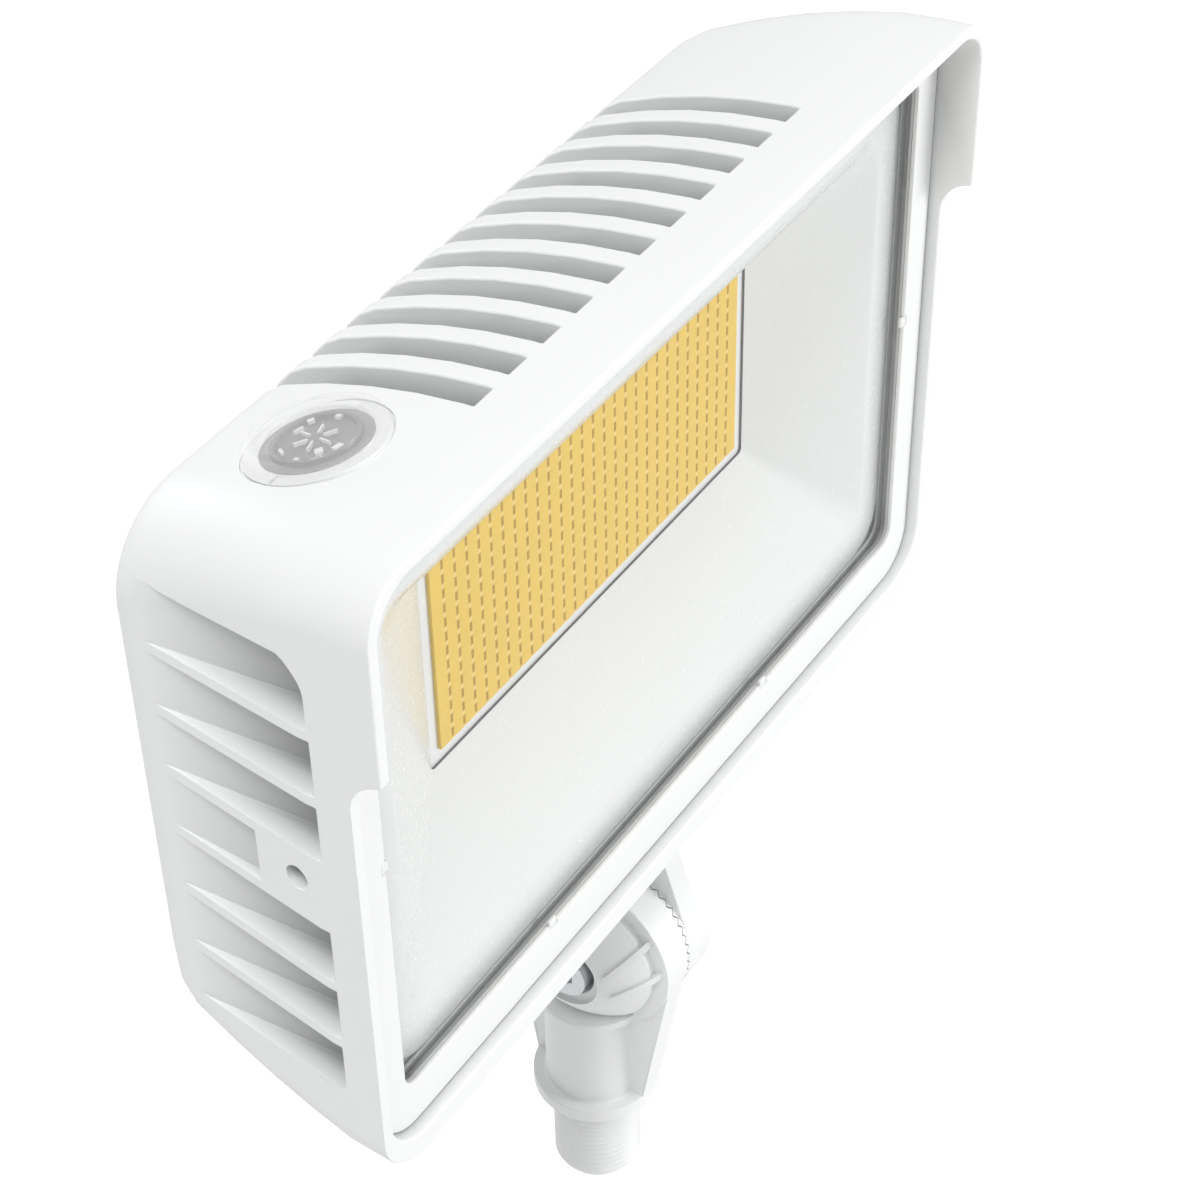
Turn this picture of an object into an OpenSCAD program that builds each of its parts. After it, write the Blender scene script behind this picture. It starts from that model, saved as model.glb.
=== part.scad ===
// Knuckle-mounted LED flood light with a dusk-to-dawn sensor.
// The stem's axis is Z, the light shines towards -Y, and +X is on the right
// seen from the front. The origin is on the stem's axis at the shoulder where
// its pipe thread starts. Depths are counted backwards from the front rim.

/* [Housing] */
// Width of the housing across its front rim
body_w = 216.4; // [212:0.1:222]
// Height of the housing at its front rim
body_h = 155.2; // [153:0.1:162]
// Depth from the front rim to the back of the cooling fins
body_d = 60; // [58:0.5:63]
// Distance from the stem's axis forward to the front rim
rim_reach = 24; // [23:0.5:25]
// Height of the housing's underside above the thread's shoulder
body_z = 91.3; // [90:0.1:100]
// Radius of the arched top, seen from the side
top_arc_r = 132; // [125:1:170]
// Radius of the arched underside, seen from the side
low_arc_r = 140; // [130:1:180]
// Radius of the two upper corners, at the front
top_corner_r = 12; // [10:0.5:14]
// Radius of the two upper corners, at the back
back_corner_r = 18; // [14:0.5:20]
// Radius of the two lower corners, seen from the front
low_corner_r = 14; // [12:0.5:16]
// Radius of the edges round the back
back_r = 10; // [7:0.5:11]
// Inward lean of each side wall, per millimetre of depth
side_draft = 0.13; // [0.08:0.01:0.14]
// Depth of the rim band before the sides start to lean in
rim_band = 8; // [7:0.5:9]
// Wall of the rim at the sides
rim_wall = 2.9; // [2.6:0.1:3.4]
// Wall of the rim along the bottom
rim_low_wall = 5.9; // [5:0.1:6.5]
// Wall of the visor along the top
visor_wall = 2.6; // [2.2:0.1:3]
// Reach of the visor in front of the rim
visor_reach = 7; // [4:0.5:10]
// Height of the visor's sides, down from the housing's top
visor_drop = 41.7; // [36:0.1:50]
// Radius of the hollow step under each visor end
visor_step_r = 8.6; // [7:0.1:9]

/* [Cooling fins] */
// Number of slots in the top and back
slot_count = 11; // [7:2:11]
// Distance from the housing's side to the outermost slot
slot_side = 52.2; // [52:0.1:60]
// Width of a slot
slot_w = 5.95; // [4:0.05:6.5]
// Depth from the rim to the slots' front ends
slot_front = 8.1; // [7.9:0.1:12]
// Depth of the wall that the back fins stand on
fin_root = 34; // [33.6:0.1:36]
// Height of the slots' lower ends above the housing's underside
slot_low = 17; // [14:1:30]

/* [Side gills] */
// Number of gills on each side
gill_count = 7; // [7:1:7]
// Distance from one gill to the next
gill_pitch = 15.85; // [15:0.05:16]
// Thickness of the plates between the gills
gill_plate = 2.6; // [2:0.1:4]
// Rise of the middle gill's centre above the housing's middle
gill_rise = 1; // [-0.6:0.1:3.4]
// Fall of the upper gills towards the back, per millimetre of height
gill_fall = 0.06; // [0:0.01:0.08]
// Depth of a gill's pocket at its front end
gill_depth = 7.5; // [5:0.1:9]
// Depth from the rim to the gills' front ends
gill_front = 8.2; // [8:0.1:12]
// Depth from the rim to where the gills run out
gill_back = 47.8; // [44:0.1:49]
// Depth from the rim to the front end of the short middle gill
gill_short = 25; // [21:0.5:28]
// Radius of the top gill's upper front corner
gill_top_r = 8; // [4:0.5:10]
// Radius of the bottom gill's lower front corner
gill_low_r = 3; // [2:0.5:5]
// Radius of the tapped accessory hole in each side
side_hole_r = 2.5; // [2:0.1:3]
// Depth of the accessory hole
side_hole_l = 7; // [5:0.5:7.5]
// Depth from the rim to the accessory hole's axis
side_hole_at = 14.9; // [13.5:0.1:16]
// Rise of the accessory hole above the middle gill's centre
side_hole_rise = 1; // [-2:0.1:2]

/* [Front frame and lens] */
// Distance from the housing's side to the light opening
open_side = 11.2; // [10.7:0.1:13.2]
// Height of the opening's lower edge above the housing's underside
open_low = 17; // [16.5:0.1:18]
// Distance from the housing's top down to the light opening
open_drop = 13.5; // [12.7:0.1:14.2]
// Radius of the opening's corners
open_r = 4; // [3:0.5:6]
// Distance that the front frame sits back from the rim
frame_set = 2.7; // [2:0.1:3]
// Thickness of the front frame
frame_t = 3.2; // [3:0.1:3.2]
// Thickness of the frame's lip over the lens
lip_t = 1; // [0.8:0.1:1.2]
// Overlap of the lip over the lens edge
lens_cover = 2.5; // [2:0.1:2.6]
// Thickness of the lens
lens_t = 2; // [1.5:0.1:2.2]
// Thickness of the rubber in front of, behind and round the lens
gasket_t = 0.7; // [0.5:0.1:0.7]
// Width of a retaining clip
clip_w = 2.4; // [2:0.1:4]
// Distance of the upper and lower clips from the middle of their row
clip_x = 42.2; // [30:0.2:50]
// Distance that the clips' rows are set to the left
clip_shift = 3.4; // [0:0.1:5]
// Distance of the lower frame screws from the middle
low_screw_x = 62; // [58:0.5:80]
// Distance of the upper frame screws from the housing's side
top_screw_side = 18.2; // [16.2:0.1:20.2]

/* [Light source] */
// Width of the yellow emitter field
array_w = 110.4; // [100:0.2:112]
// Height of the yellow emitter field
array_h = 46.1; // [40:0.1:47]
// Rise of the emitter field's centre above the housing's middle
array_rise = 10.2; // [8.4:0.1:11.4]
// Depth from the rim to the emitter field's face
array_at = 21; // [20.5:0.1:21.4]
// Thickness of the emitter field
array_t = 0.8; // [0.6:0.1:1]
// Bare border of the board that shows round the emitter field
board_border = 3.3; // [2.5:0.1:3.5]
// Width of the board that the reflector hides at each side
board_ear = 9.4; // [8.6:0.1:10]
// Height of the board that the reflector hides above and below
board_margin = 5; // [3:0.5:6]
// Thickness of the circuit board
board_t = 1.6; // [1.2:0.1:2]
// Thickness of the thermal pad
pad_t = 0.5; // [0.3:0.1:1]
// Distance from the light opening's side to the reflector's front edge
refl_side = 10; // [8:0.1:12]
// Height of the reflector's lower front edge above the housing's underside
refl_low = 28.7; // [27:0.1:30]
// Distance from the light opening's top to the reflector's front edge
refl_drop = 11.7; // [10.7:0.1:13.7]
// Width of the lip that rolls back from the reflector's front edge
refl_lip = 8.3; // [7:0.1:8.4]
// Distance that the lip rolls back
refl_roll = 2.6; // [2:0.1:3]
// Thickness of the reflector
refl_t = 1; // [0.8:0.1:1.2]

/* [Driver and sensor] */
// Space beside the driver in its bay
driver_side_gap = 4.8; // [1:0.1:9]
// Space above and below the driver's ears
driver_end_gap = 2.1; // [1:0.1:9]
// Depth of the driver
driver_d = 16; // [12:0.5:16.5]
// Distance of the light sensor's axis from the housing's side
sensor_side = 33.8; // [32.2:0.1:34.7]
// Depth from the rim to the sensor's axis at the top surface
sensor_at = 28; // [26:0.5:30]
// Radius of the sensor's clear cap
sensor_r = 13.3; // [12.5:0.1:13.8]
// Radius of the sensor's threaded neck
sensor_neck_r = 10; // [9:0.1:10.2]
// Wall of the housing under the sensor
sensor_wall = 4; // [3.5:0.1:5]
// Length of the sensor's neck below the top surface
sensor_neck_l = 22; // [18:0.5:24]

/* [Knuckle] */
// Height of the tilt axis above the thread's shoulder
pivot_z = 49; // [48:0.5:51]
// Radius of the two serrated discs
disc_r = 22.5; // [21:0.5:24]
// Distance of the serrated joint from the stem's axis
joint_x = 5.5; // [5:0.1:6]
// Thickness of the stem's disc
stem_disc_t = 9; // [8:0.5:10]
// Thickness of the housing's disc
head_disc_t = 9.6; // [9.4:0.1:12]
// Thickness of the neck above the housing's disc
head_neck_t = 6; // [5:0.5:7]
// Lean of the neck's edges from the housing's disc
head_lean = 17.5; // [14:0.5:19]
// Lean of the stem's edges below its disc
stem_lean = 9.8; // [8:0.1:11]
// Reach of the domed cap beyond the stem's disc
dome_reach = 11.5; // [10:0.5:13]
// Radius of the domed cap
dome_r = 19; // [17:0.5:20]
// Number of serrations round each disc
tooth_count = 40; // [20:4:44]
// Height of a serration
tooth_h = 0.8; // [0.5:0.1:0.9]
// Gap between the two rings of serrations
tooth_gap = 0.3; // [0.2:0.1:0.5]
// Radius of the clamp bolt
bolt_r = 4; // [3.5:0.5:4]
// Radius of the pocket round the clamp bolt's head
bolt_pocket_r = 9.5; // [8:0.1:10]
// Depth of the pocket's wide part below the dome's tip
bolt_pocket_l = 3.4; // [2.8:0.1:5]
// Radius of the stem's round neck
neck_r = 12; // [11.5:0.1:12.5]
// Radius of the shelf at the top of the neck
shelf_r = 13.6; // [12.8:0.1:14.5]
// Height of the shelf above the thread's shoulder
shelf_z = 33; // [31:0.1:34]
// Radius of the collar
collar_r = 15.1; // [14:0.1:17]
// Thickness of the collar
collar_t = 3.6; // [3:0.1:5]
// Outside radius of the pipe thread
thread_r = 10.67; // [10.3:0.01:13.4]
// Length of the pipe thread
thread_l = 28; // [20:0.5:32]
// Radius of the wireway through the stem
wire_r = 6; // [5:0.1:6]

/* [Hidden] */
$fn = 64;

// Clearances
slip = 0.3;
thread_gap = 0.06;
turn_gap = 0.08;
cut = 1;

// Places that follow from the sizes above
half = body_w / 2;
mid_z = body_z + body_h / 2;
slot_pitch = (body_w - 2 * slot_side - slot_w) / (slot_count - 1);
gill_mid = body_h / 2 + gill_rise;
side_hole_z = gill_mid + side_hole_rise;
open_w = body_w - 2 * open_side;
open_top = body_h - open_drop;
refl_w = open_w - 2 * refl_side;
refl_top = open_top - refl_drop;
top_screw_x = half - top_screw_side;
sensor_x = half - sensor_side;
rim_y = -rim_reach;
pocket_w = body_w - 2 * rim_wall;
pocket_low = body_z + rim_low_wall;
pocket_top = body_z + body_h - visor_wall;
pocket_r = low_corner_r - rim_wall;
pocket_top_r = top_corner_r - visor_wall;
ledge_at = frame_set + frame_t + 0.1;
lens_w = open_w + 2 * lens_cover;
lens_low = body_z + open_low - lens_cover;
lens_top = body_z + open_top + lens_cover;
gasket_at = frame_set + lip_t;
lens_at = gasket_at + gasket_t;
lens_back = lens_at + lens_t;
gasket_back = lens_back + gasket_t;
recess_back = gasket_back + 0.2;
cavity_w = open_w - 2;
board_at = array_at + array_t;
pad_at = board_at + board_t;
seat_at = pad_at + pad_t;
cavity_back = fin_root - 2.5;
window_w = array_w + 2 * board_border;
window_h = array_h + 2 * board_border;
window_z = mid_z + array_rise;
window_gap = 0.6;
window_at = board_at - window_gap;
refl_at = lens_back + 0.2;
board_w = window_w + 2 * board_ear;
board_h = window_h + 2 * board_margin;
bay_in = board_w / 2 - 9;
bay_out = cavity_w / 2 + 1;
bay_step = 3;
bay_low = body_z + 20;
bay_top = body_z + body_h - 30;
bay_back = body_d - 5.5;
bay_mid = (bay_in + bay_out) / 2;
earth_z = bay_low + 20;
lead_r = 0.75;
lead_pitch = 2;
driver_w = bay_out - bay_step - slip - bay_in - driver_side_gap;
driver_x = bay_out - bay_step - slip - driver_w / 2;
driver_z = (bay_low + bay_top) / 2;
driver_ear = 8.5;
driver_ear_t = 1.5;
driver_h = bay_top - bay_low - 2 * (driver_ear + driver_end_gap);
driver_at = bay_back - driver_d;
sensor_lean = asin((sensor_at + visor_reach) / top_arc_r);
low_screw_at = frame_set + frame_t + 2.7;
low_screw_seat = body_z + 2.7;
top_screw_z = body_z + body_h - visor_wall - 4.2;
frame_screw_r = 1.5;
frame_boss_h = 6;
pivot_bore_r = bolt_r + turn_gap;
face_gap = 2 * tooth_h + tooth_gap;
stem_face = joint_x - face_gap / 2;
head_face = joint_x + face_gap / 2;
head_out = joint_x + head_disc_t;
dome_face = joint_x - stem_disc_t;
dome_tip = dome_face - dome_reach;
seat_ring_r = disc_r - 7.5;
bolt_head_r = 1.62 * bolt_r;
bolt_head_h = bolt_r * 1.5;
bolt_seat = dome_tip + bolt_head_h + 3;
washer_t = 1.6;
nut_flat = 3.25 * bolt_r;
nut_h = 1.6 * bolt_r;
nut_at = head_out - nut_h;
bracket_gasket_t = 1;
bracket_pad_t = 9;
flange_top = body_z - bracket_gasket_t;
flange_t = 7;
flange_w = 40;
flange_d = 30;
flange_x = joint_x + 1.5;
bracket_screw_x = 14.5;
bracket_screw_r = 2.5;
wire_up_x = (head_face + head_out) / 2;
wire_up_r = 3.4;
ring_in = nut_flat / sqrt(3) + 1.5;
ring_out = seat_ring_r - 2;

// Profile of the housing, by depth
function edge_in(d) =
    let (e = d - (body_d - back_r)) e <= 0 ? 0 : back_r - sqrt(back_r * back_r - e * e);
function side_x(d) = half - max(0, d - rim_band) * side_draft - edge_in(d);
function top_z(d) =
    body_z + body_h - edge_in(d)
    - (top_arc_r - sqrt(top_arc_r * top_arc_r - pow(d + visor_reach, 2)));
function low_z(d) =
    body_z + edge_in(d) + low_arc_r - sqrt(low_arc_r * low_arc_r - d * d);
function top_r(d) = top_corner_r + (back_corner_r - top_corner_r) * d / body_d;
section_depths = [
    for (i = [0:5]) i * (body_d - back_r) / 5,
    for (a = [22.5:22.5:90]) body_d - back_r + back_r * sin(a)
];

// Shapes used by several pieces
module at_depth(d) { translate([0, rim_y + d, 0]) children(); }

// Draws an outline in X and Z and gives it a thickness backwards
module plate(d, t) { at_depth(d + t) rotate([90, 0, 0]) linear_extrude(t) children(); }

// Draws an outline in Y and Z and runs it along X
module run_x(x, l) { translate([x, 0, 0]) rotate([90, 0, 90]) linear_extrude(l) children(); }

// Round bar along X, from x over a length
module bar_x(x, l, r) { translate([x, 0, 0]) rotate([0, 90, 0]) cylinder(h = l, r = r); }

// Round bar backwards from a depth
module bar_y(d, l, r) { at_depth(d) rotate([-90, 0, 0]) cylinder(h = l, r = r); }

// Block between two corners, given by depth in Y
module block(x0, x1, d0, d1, z0, z1) {
    at_depth(d0) translate([x0, 0, z0]) cube([x1 - x0, d1 - d0, z1 - z0]);
}

// Rectangle with one radius for its lower and one for its upper corners
module round_rect(w, z0, z1, r0, r1) {
    difference() {
        translate([-w / 2, z0]) square([w, z1 - z0]);
        for (s = [-1, 1]) {
            translate([s * w / 2, z0]) mirror([(s + 1) / 2, 0]) corner_cut(r0);
            translate([s * w / 2, z1]) mirror([(s + 1) / 2, 0]) mirror([0, 1]) corner_cut(r1);
        }
    }
}
module corner_cut(r) {
    difference() {
        translate([-cut, -cut]) square(r + cut);
        translate([r, r]) circle(r);
    }
}

// Block that grows evenly between two rectangles at two depths
module flare(w0, a0, b0, d0, w1, a1, b1, d1) {
    hull() {
        plate(d0, 0.01) translate([-w0 / 2, a0]) square([w0, b0 - a0]);
        plate(d1 - 0.01, 0.01) translate([-w1 / 2, a1]) square([w1, b1 - a1]);
    }
}

// Screw along +Y with a button head in front of its seat
module screw_y(d, l, r, head_r, head_h) {
    bar_y(d, l, r);
    difference() {
        bar_y(d - head_h, head_h, head_r);
        bar_y(d - head_h - cut, cut + head_h * 0.6, head_r * 0.45, $fn = 6);
    }
}

// Housing
module housing_form() { hull() for (d = section_depths) section(d); }

// Four corner discs of the housing's outline at a depth
module section(d) {
    x = side_x(d);
    for (s = [-1, 1])
        plate(d - 0.01, 0.01) {
            translate([s * (x - low_corner_r), low_z(d) + low_corner_r]) circle(low_corner_r, $fn = 40);
            translate([s * (x - top_r(d)), top_z(d) - top_r(d)]) circle(top_r(d), $fn = 40);
        }
}

// Visor, which carries the arch of the housing's top on to its front edge
module visor() {
    difference() {
        hull() for (d = [0.01 - visor_reach, 0]) section(d);
        block(-half - cut, half + cut, -visor_reach - cut, 0, body_z - cut, visor_cut_z());
        run_x(-half - cut, body_w + 2 * cut)
            translate([rim_y - visor_step_r, visor_cut_z()]) circle(visor_step_r);
    }
}
function visor_cut_z() = body_z + body_h - visor_drop - visor_step_r;

module top_slots() {
    for (i = [0:slot_count - 1])
        run_x((i - (slot_count - 1) / 2) * slot_pitch - slot_w / 2, slot_w)
            polygon([
                [rim_y + slot_front, body_z + body_h + cut],
                [rim_y + slot_front, body_z + body_h - 8.5],
                [rim_y + fin_root, body_z + body_h - 16.5],
                [rim_y + fin_root, body_z + slot_low + 6],
                [rim_y + body_d + cut, body_z + slot_low],
                [rim_y + body_d + cut, body_z + body_h + cut]
            ]);
}

// Fall of a gill's edge at the back, for an edge that is at a height in front
function gill_drop(z) = max(0, z - body_z - gill_mid) * gill_fall;

// Wedge that a gill cuts in the left side between two heights
module gill_wedge(front, z0, z1) {
    intersection() {
        translate([0, rim_y, z0 - gill_pitch]) linear_extrude(z1 - z0 + 2 * gill_pitch) polygon([
            [-half - cut, front],
            [-half + gill_depth * (gill_back - front) / (gill_back - gill_front), front],
            [-side_x(gill_back), gill_back],
            [-half - cut, gill_back]
        ]);
        run_x(-half - 2 * cut, gill_depth + 4 * cut) polygon([
            [rim_y + gill_front, z0], [rim_y + gill_front, z1],
            [rim_y + gill_back, z1 - gill_drop(z1)], [rim_y + gill_back, z0 - gill_drop(z0)]
        ]);
    }
}

// Rounds the outer front corner of the first and last gill
module gill_corner(z, r, up) {
    run_x(-half - 2 * cut, gill_depth + 4 * cut)
        translate([rim_y + gill_front, z]) mirror([0, up]) corner_cut(r);
}

module left_gills() {
    gap = gill_pitch - gill_plate;
    mid = (gill_count - 1) / 2;
    low = body_z + gill_mid - mid * gill_pitch - gap / 2;
    top = body_z + gill_mid + mid * gill_pitch + gap / 2 + 2;
    difference() {
        for (i = [0:gill_count - 1])
            gill_wedge(i == mid ? gill_short : gill_front,
                low + i * gill_pitch,
                i == gill_count - 1 ? top : low + i * gill_pitch + gap);
        gill_corner(low, gill_low_r, 0);
        gill_corner(top, gill_top_r, 1);
    }
    side_hole();
}

module side_hole() {
    at_depth(side_hole_at) translate([0, 0, body_z + side_hole_z]) {
        bar_x(-half - cut, side_hole_l + 1 + cut, side_hole_r);
        bar_x(-half - cut, 1.1 + cut, side_hole_r + 0.4);
    }
}

module housing_cavity() {
    plate(-visor_reach - cut, visor_reach + cut + ledge_at)
        round_rect(pocket_w, pocket_low, pocket_top, pocket_r, pocket_top_r);
    plate(ledge_at - cut, cut + recess_back - ledge_at)
        round_rect(lens_w + 2 * gasket_t + slip, lens_low - gasket_t - slip / 2,
            lens_top + gasket_t + slip / 2, open_r, open_r);
    block(-cavity_w / 2, cavity_w / 2, recess_back - cut, 12,
        body_z + refl_low - refl_lip - 1.5, body_z + refl_top + refl_lip + 2);
    block(-cavity_w / 2, cavity_w / 2, 9.5, cavity_back, body_z + 7, body_z + body_h - 20);
    for (s = [0, 1]) mirror([s, 0, 0]) {
        block(bay_in, bay_out, 12, bay_back - 5.5, bay_low - 4, bay_top + 8);
        block(bay_in, bay_out - bay_step, 12, bay_back, bay_low, bay_top);
    }
}

module sensor_place() {
    at_depth(sensor_at) translate([-sensor_x, 0, top_z(sensor_at)]) rotate([-sensor_lean, 0, 0]) children();
}

module board_screw_places() {
    for (sx = [-1, 1], sz = [-1, 1])
        translate([sx * (window_w / 2 + 0.63 * board_ear), 0, window_z + sz * array_h * 0.45]) children();
}

// The lower frame screws point up and the upper ones backwards
module low_screw_places() {
    for (s = [-1, 1]) translate([s * low_screw_x, rim_y + low_screw_at, 0]) children();
}

module top_screw_places() {
    for (s = [-1, 1]) translate([s * top_screw_x, 0, top_screw_z]) children();
}

// Boss behind the frame's lower edge for each lower screw, grown by a gap
module frame_boss(gap) {
    for (s = [-1, 1])
        block(s * low_screw_x - 4 - gap, s * low_screw_x + 4 + gap,
            frame_set + frame_t - 0.5, low_screw_at + 2.6 + gap,
            pocket_low + slip - gap, pocket_low + slip + frame_boss_h + gap);
}

module bracket_screw_places() {
    for (s = [-1, 1]) translate([flange_x + s * bracket_screw_x, 0, 0]) children();
}

module housing() color("white") {
    difference() {
        union() {
            difference() {
                union() { housing_form(); visor(); }
                housing_cavity();
                top_slots();
                for (s = [0, 1]) mirror([s, 0, 0]) left_gills();
            }
            // Seat that carries the light board's heat to the fins
            block(-board_w / 2 + 1, board_w / 2 - 1, seat_at, cavity_back + 0.5,
                window_z - board_h / 2 - 1, window_z + board_h / 2 + 1);
            // Flat pad on the underside for the knuckle
            translate([flange_x - flange_w / 2, -flange_d / 2, body_z])
                cube([flange_w, flange_d, bracket_pad_t]);
            // Post for the earth screw
            translate([-bay_mid, 0, earth_z]) bar_y(bay_back - 3, 4, 4);
        }
        board_screw_places() bar_y(seat_at - cut, 7 + cut, 1.5 + thread_gap);
        bracket_screw_places() translate([0, 0, body_z - cut]) {
            cylinder(h = 12, r = bracket_screw_r + slip);
        }
        translate([wire_up_x, 0, body_z - cut]) cylinder(h = 12, r = wire_up_r + 1.6);
        for (z = driver_screw_z()) translate([driver_x, 0, z])
            bar_y(bay_back - cut, cut + 3, 1.5 + thread_gap);
        frame_boss(slip);
        low_screw_places() translate([0, 0, body_z - cut]) {
            cylinder(h = cut + low_screw_seat - body_z, r = 2 * frame_screw_r + slip);
            cylinder(h = cut + 8, r = frame_screw_r + slip);
        }
        top_screw_places() bar_y(frame_set, 12, frame_screw_r + thread_gap);
        translate([-bay_mid, 0, earth_z]) bar_y(bay_back - 3 - cut, cut + 5.5, 2 + thread_gap);
        sensor_place() {
            translate([0, 0, -sensor_wall - cut]) cylinder(h = 20, r = sensor_neck_r + slip);
            translate([0, 0, -0.9]) cylinder(h = 6, r = sensor_r + 0.7);
            translate([0, 0, -sensor_neck_l])
                cylinder(h = sensor_neck_l - sensor_wall, r = sensor_neck_r + 4.5);
        }
    }
}

// Front frame, lens and seal
module front_frame() color("white") difference() {
    union() {
        plate(frame_set, frame_t)
            round_rect(pocket_w - 2 * slip, pocket_low + slip, pocket_top - slip,
                pocket_r - slip, pocket_top_r - slip);
        frame_boss(0);
    }
    plate(frame_set - cut, frame_t + 2 * cut)
        round_rect(open_w, body_z + open_low, body_z + open_top, open_r, open_r);
    plate(gasket_at, frame_t)
        round_rect(lens_w + 2 * gasket_t + slip, lens_low - gasket_t - slip / 2,
            lens_top + gasket_t + slip / 2, open_r, open_r);
    clip_places() translate([-clip_w / 2 - slip / 2, -cut]) square([clip_w + slip, 1.2 + cut]);
    low_screw_places() translate([0, 0, pocket_low])
        cylinder(h = frame_boss_h - 1, r = frame_screw_r + thread_gap);
    top_screw_places() bar_y(frame_set - cut, frame_t + 2 * cut, frame_screw_r + slip);
}

module frame_screws() color("silver") {
    low_screw_places() translate([0, 0, low_screw_seat]) {
        cylinder(h = 7.6, r = frame_screw_r);
        difference() {
            translate([0, 0, -1.8]) cylinder(h = 1.8, r = 2 * frame_screw_r);
            translate([0, 0, -2.8]) cylinder(h = 2, r = 1.3, $fn = 6);
        }
    }
    top_screw_places() screw_y(frame_set, 11, frame_screw_r, 2 * frame_screw_r - 0.2, 1.6);
}

// Runs its child at each clip, with the child's Y pointing into the frame
module clip_places() {
    plate(frame_set - cut, lip_t + 2 * cut) clip_outlines() children();
}
module clip_outlines() {
    mid = body_z + (open_low + open_top) / 2;
    for (s = [-1, 1]) {
        translate([s * clip_x - clip_shift, body_z + open_low]) mirror([0, 1]) children();
        translate([s * clip_x - clip_shift, body_z + open_top]) children();
        translate([s * open_w / 2, mid]) rotate(-s * 90) children();
    }
}

module retaining_clips() color("whitesmoke")
    plate(frame_set + 0.2, lip_t - 0.2) clip_outlines()
        translate([-clip_w / 2, -1]) square([clip_w, 2.1]);

module lens() color([0.9, 0.95, 1, 0.35])
    plate(lens_at, lens_t) round_rect(lens_w, lens_low, lens_top, open_r, open_r);

module lens_gasket() color("gainsboro") difference() {
    plate(gasket_at, gasket_back - gasket_at)
        round_rect(lens_w + 2 * gasket_t, lens_low - gasket_t, lens_top + gasket_t, open_r, open_r);
    plate(gasket_at - cut, 2 * cut + gasket_back)
        round_rect(open_w, body_z + open_low, body_z + open_top, open_r, open_r);
    plate(lens_at, lens_t) round_rect(lens_w, lens_low, lens_top, open_r, open_r);
}

// Reflector: four sloping walls round the board and a lip that rolls back
module reflector() color("whitesmoke") {
    a = body_z + refl_low;
    b = body_z + refl_top;
    t = refl_t;
    wa = window_z - window_h / 2;
    wb = window_z + window_h / 2;
    difference() {
        flare(refl_w + 2 * t, a - t, b + t, refl_at, window_w + 2 * t, wa - t, wb + t, window_at);
        flare(refl_w, a, b, refl_at - 0.02, window_w, wa, wb, window_at + 0.02);
    }
    difference() {
        flare(refl_w + 2 * t, a - t, b + t, refl_at,
            refl_w + 2 * refl_lip, a - refl_lip, b + refl_lip, refl_at + refl_roll);
        plate(refl_at - cut, refl_roll + 2 * cut) round_rect(refl_w, a, b, 0.01, 0.01);
        flare(refl_w + t, a - t / 2, b + t / 2, refl_at + t + 0.1,
            refl_w + 2 * refl_lip, a - refl_lip, b + refl_lip, refl_at + refl_roll + t + 0.1);
    }
}

// Light board
module led_array() color("gold")
    plate(array_at, array_t) translate([-array_w / 2, window_z - array_h / 2]) square([array_w, array_h]);

module led_board() color("white") difference() {
    plate(board_at, board_t) translate([-board_w / 2, window_z - board_h / 2]) square([board_w, board_h]);
    board_screw_places() bar_y(board_at - cut, board_t + 2 * cut, 1.7);
}

module board_screws() color("silver") board_screw_places() screw_y(board_at, 7, 1.5, 2.8, 1.5);

module thermal_pad() color("lightblue") difference() {
    plate(pad_at, pad_t) translate([-board_w / 2 + 1, window_z - board_h / 2]) square([board_w - 2, board_h]);
    board_screw_places() bar_y(pad_at - cut, pad_t + 2 * cut, 1.9);
}

// Driver in the right-hand bay
function driver_screw_z() = [for (s = [-1, 1]) driver_z + s * (driver_h / 2 + driver_ear - 4)];

module driver() color("gainsboro") difference() {
    union() {
        block(driver_x - driver_w / 2, driver_x + driver_w / 2, driver_at, bay_back,
            driver_z - driver_h / 2, driver_z + driver_h / 2);
        block(driver_x - 5, driver_x + 5, bay_back - driver_ear_t, bay_back,
            driver_z - driver_h / 2 - driver_ear, driver_z + driver_h / 2 + driver_ear);
    }
    for (z = driver_screw_z()) translate([driver_x, 0, z]) bar_y(bay_back - 3, 4, 1.7);
}

module driver_screws() color("silver")
    for (z = driver_screw_z()) translate([driver_x, 0, z]) screw_y(bay_back - driver_ear_t, 4, 1.5, 2.8, 1.5);

module earth_screw() color("seagreen")
    translate([-bay_mid, 0, earth_z]) screw_y(bay_back - 3, 5, 2, 3.6, 2.2);

// Insulated wires from the board's edge back to the driver's face
module led_leads() color("crimson")
    for (i = [-1, 1]) {
        z = window_z + i * 2.5;
        bend = driver_x - driver_w / 4;
        translate([0, rim_y + board_at + board_t / 2, z]) {
            bar_x(board_w / 2, bend - board_w / 2, lead_r);
            translate([bend, 0, 0]) sphere(r = lead_r, $fn = 24);
        }
        translate([bend, 0, z])
            bar_y(board_at + board_t / 2, driver_at - board_at - board_t / 2, lead_r);
    }

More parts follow.
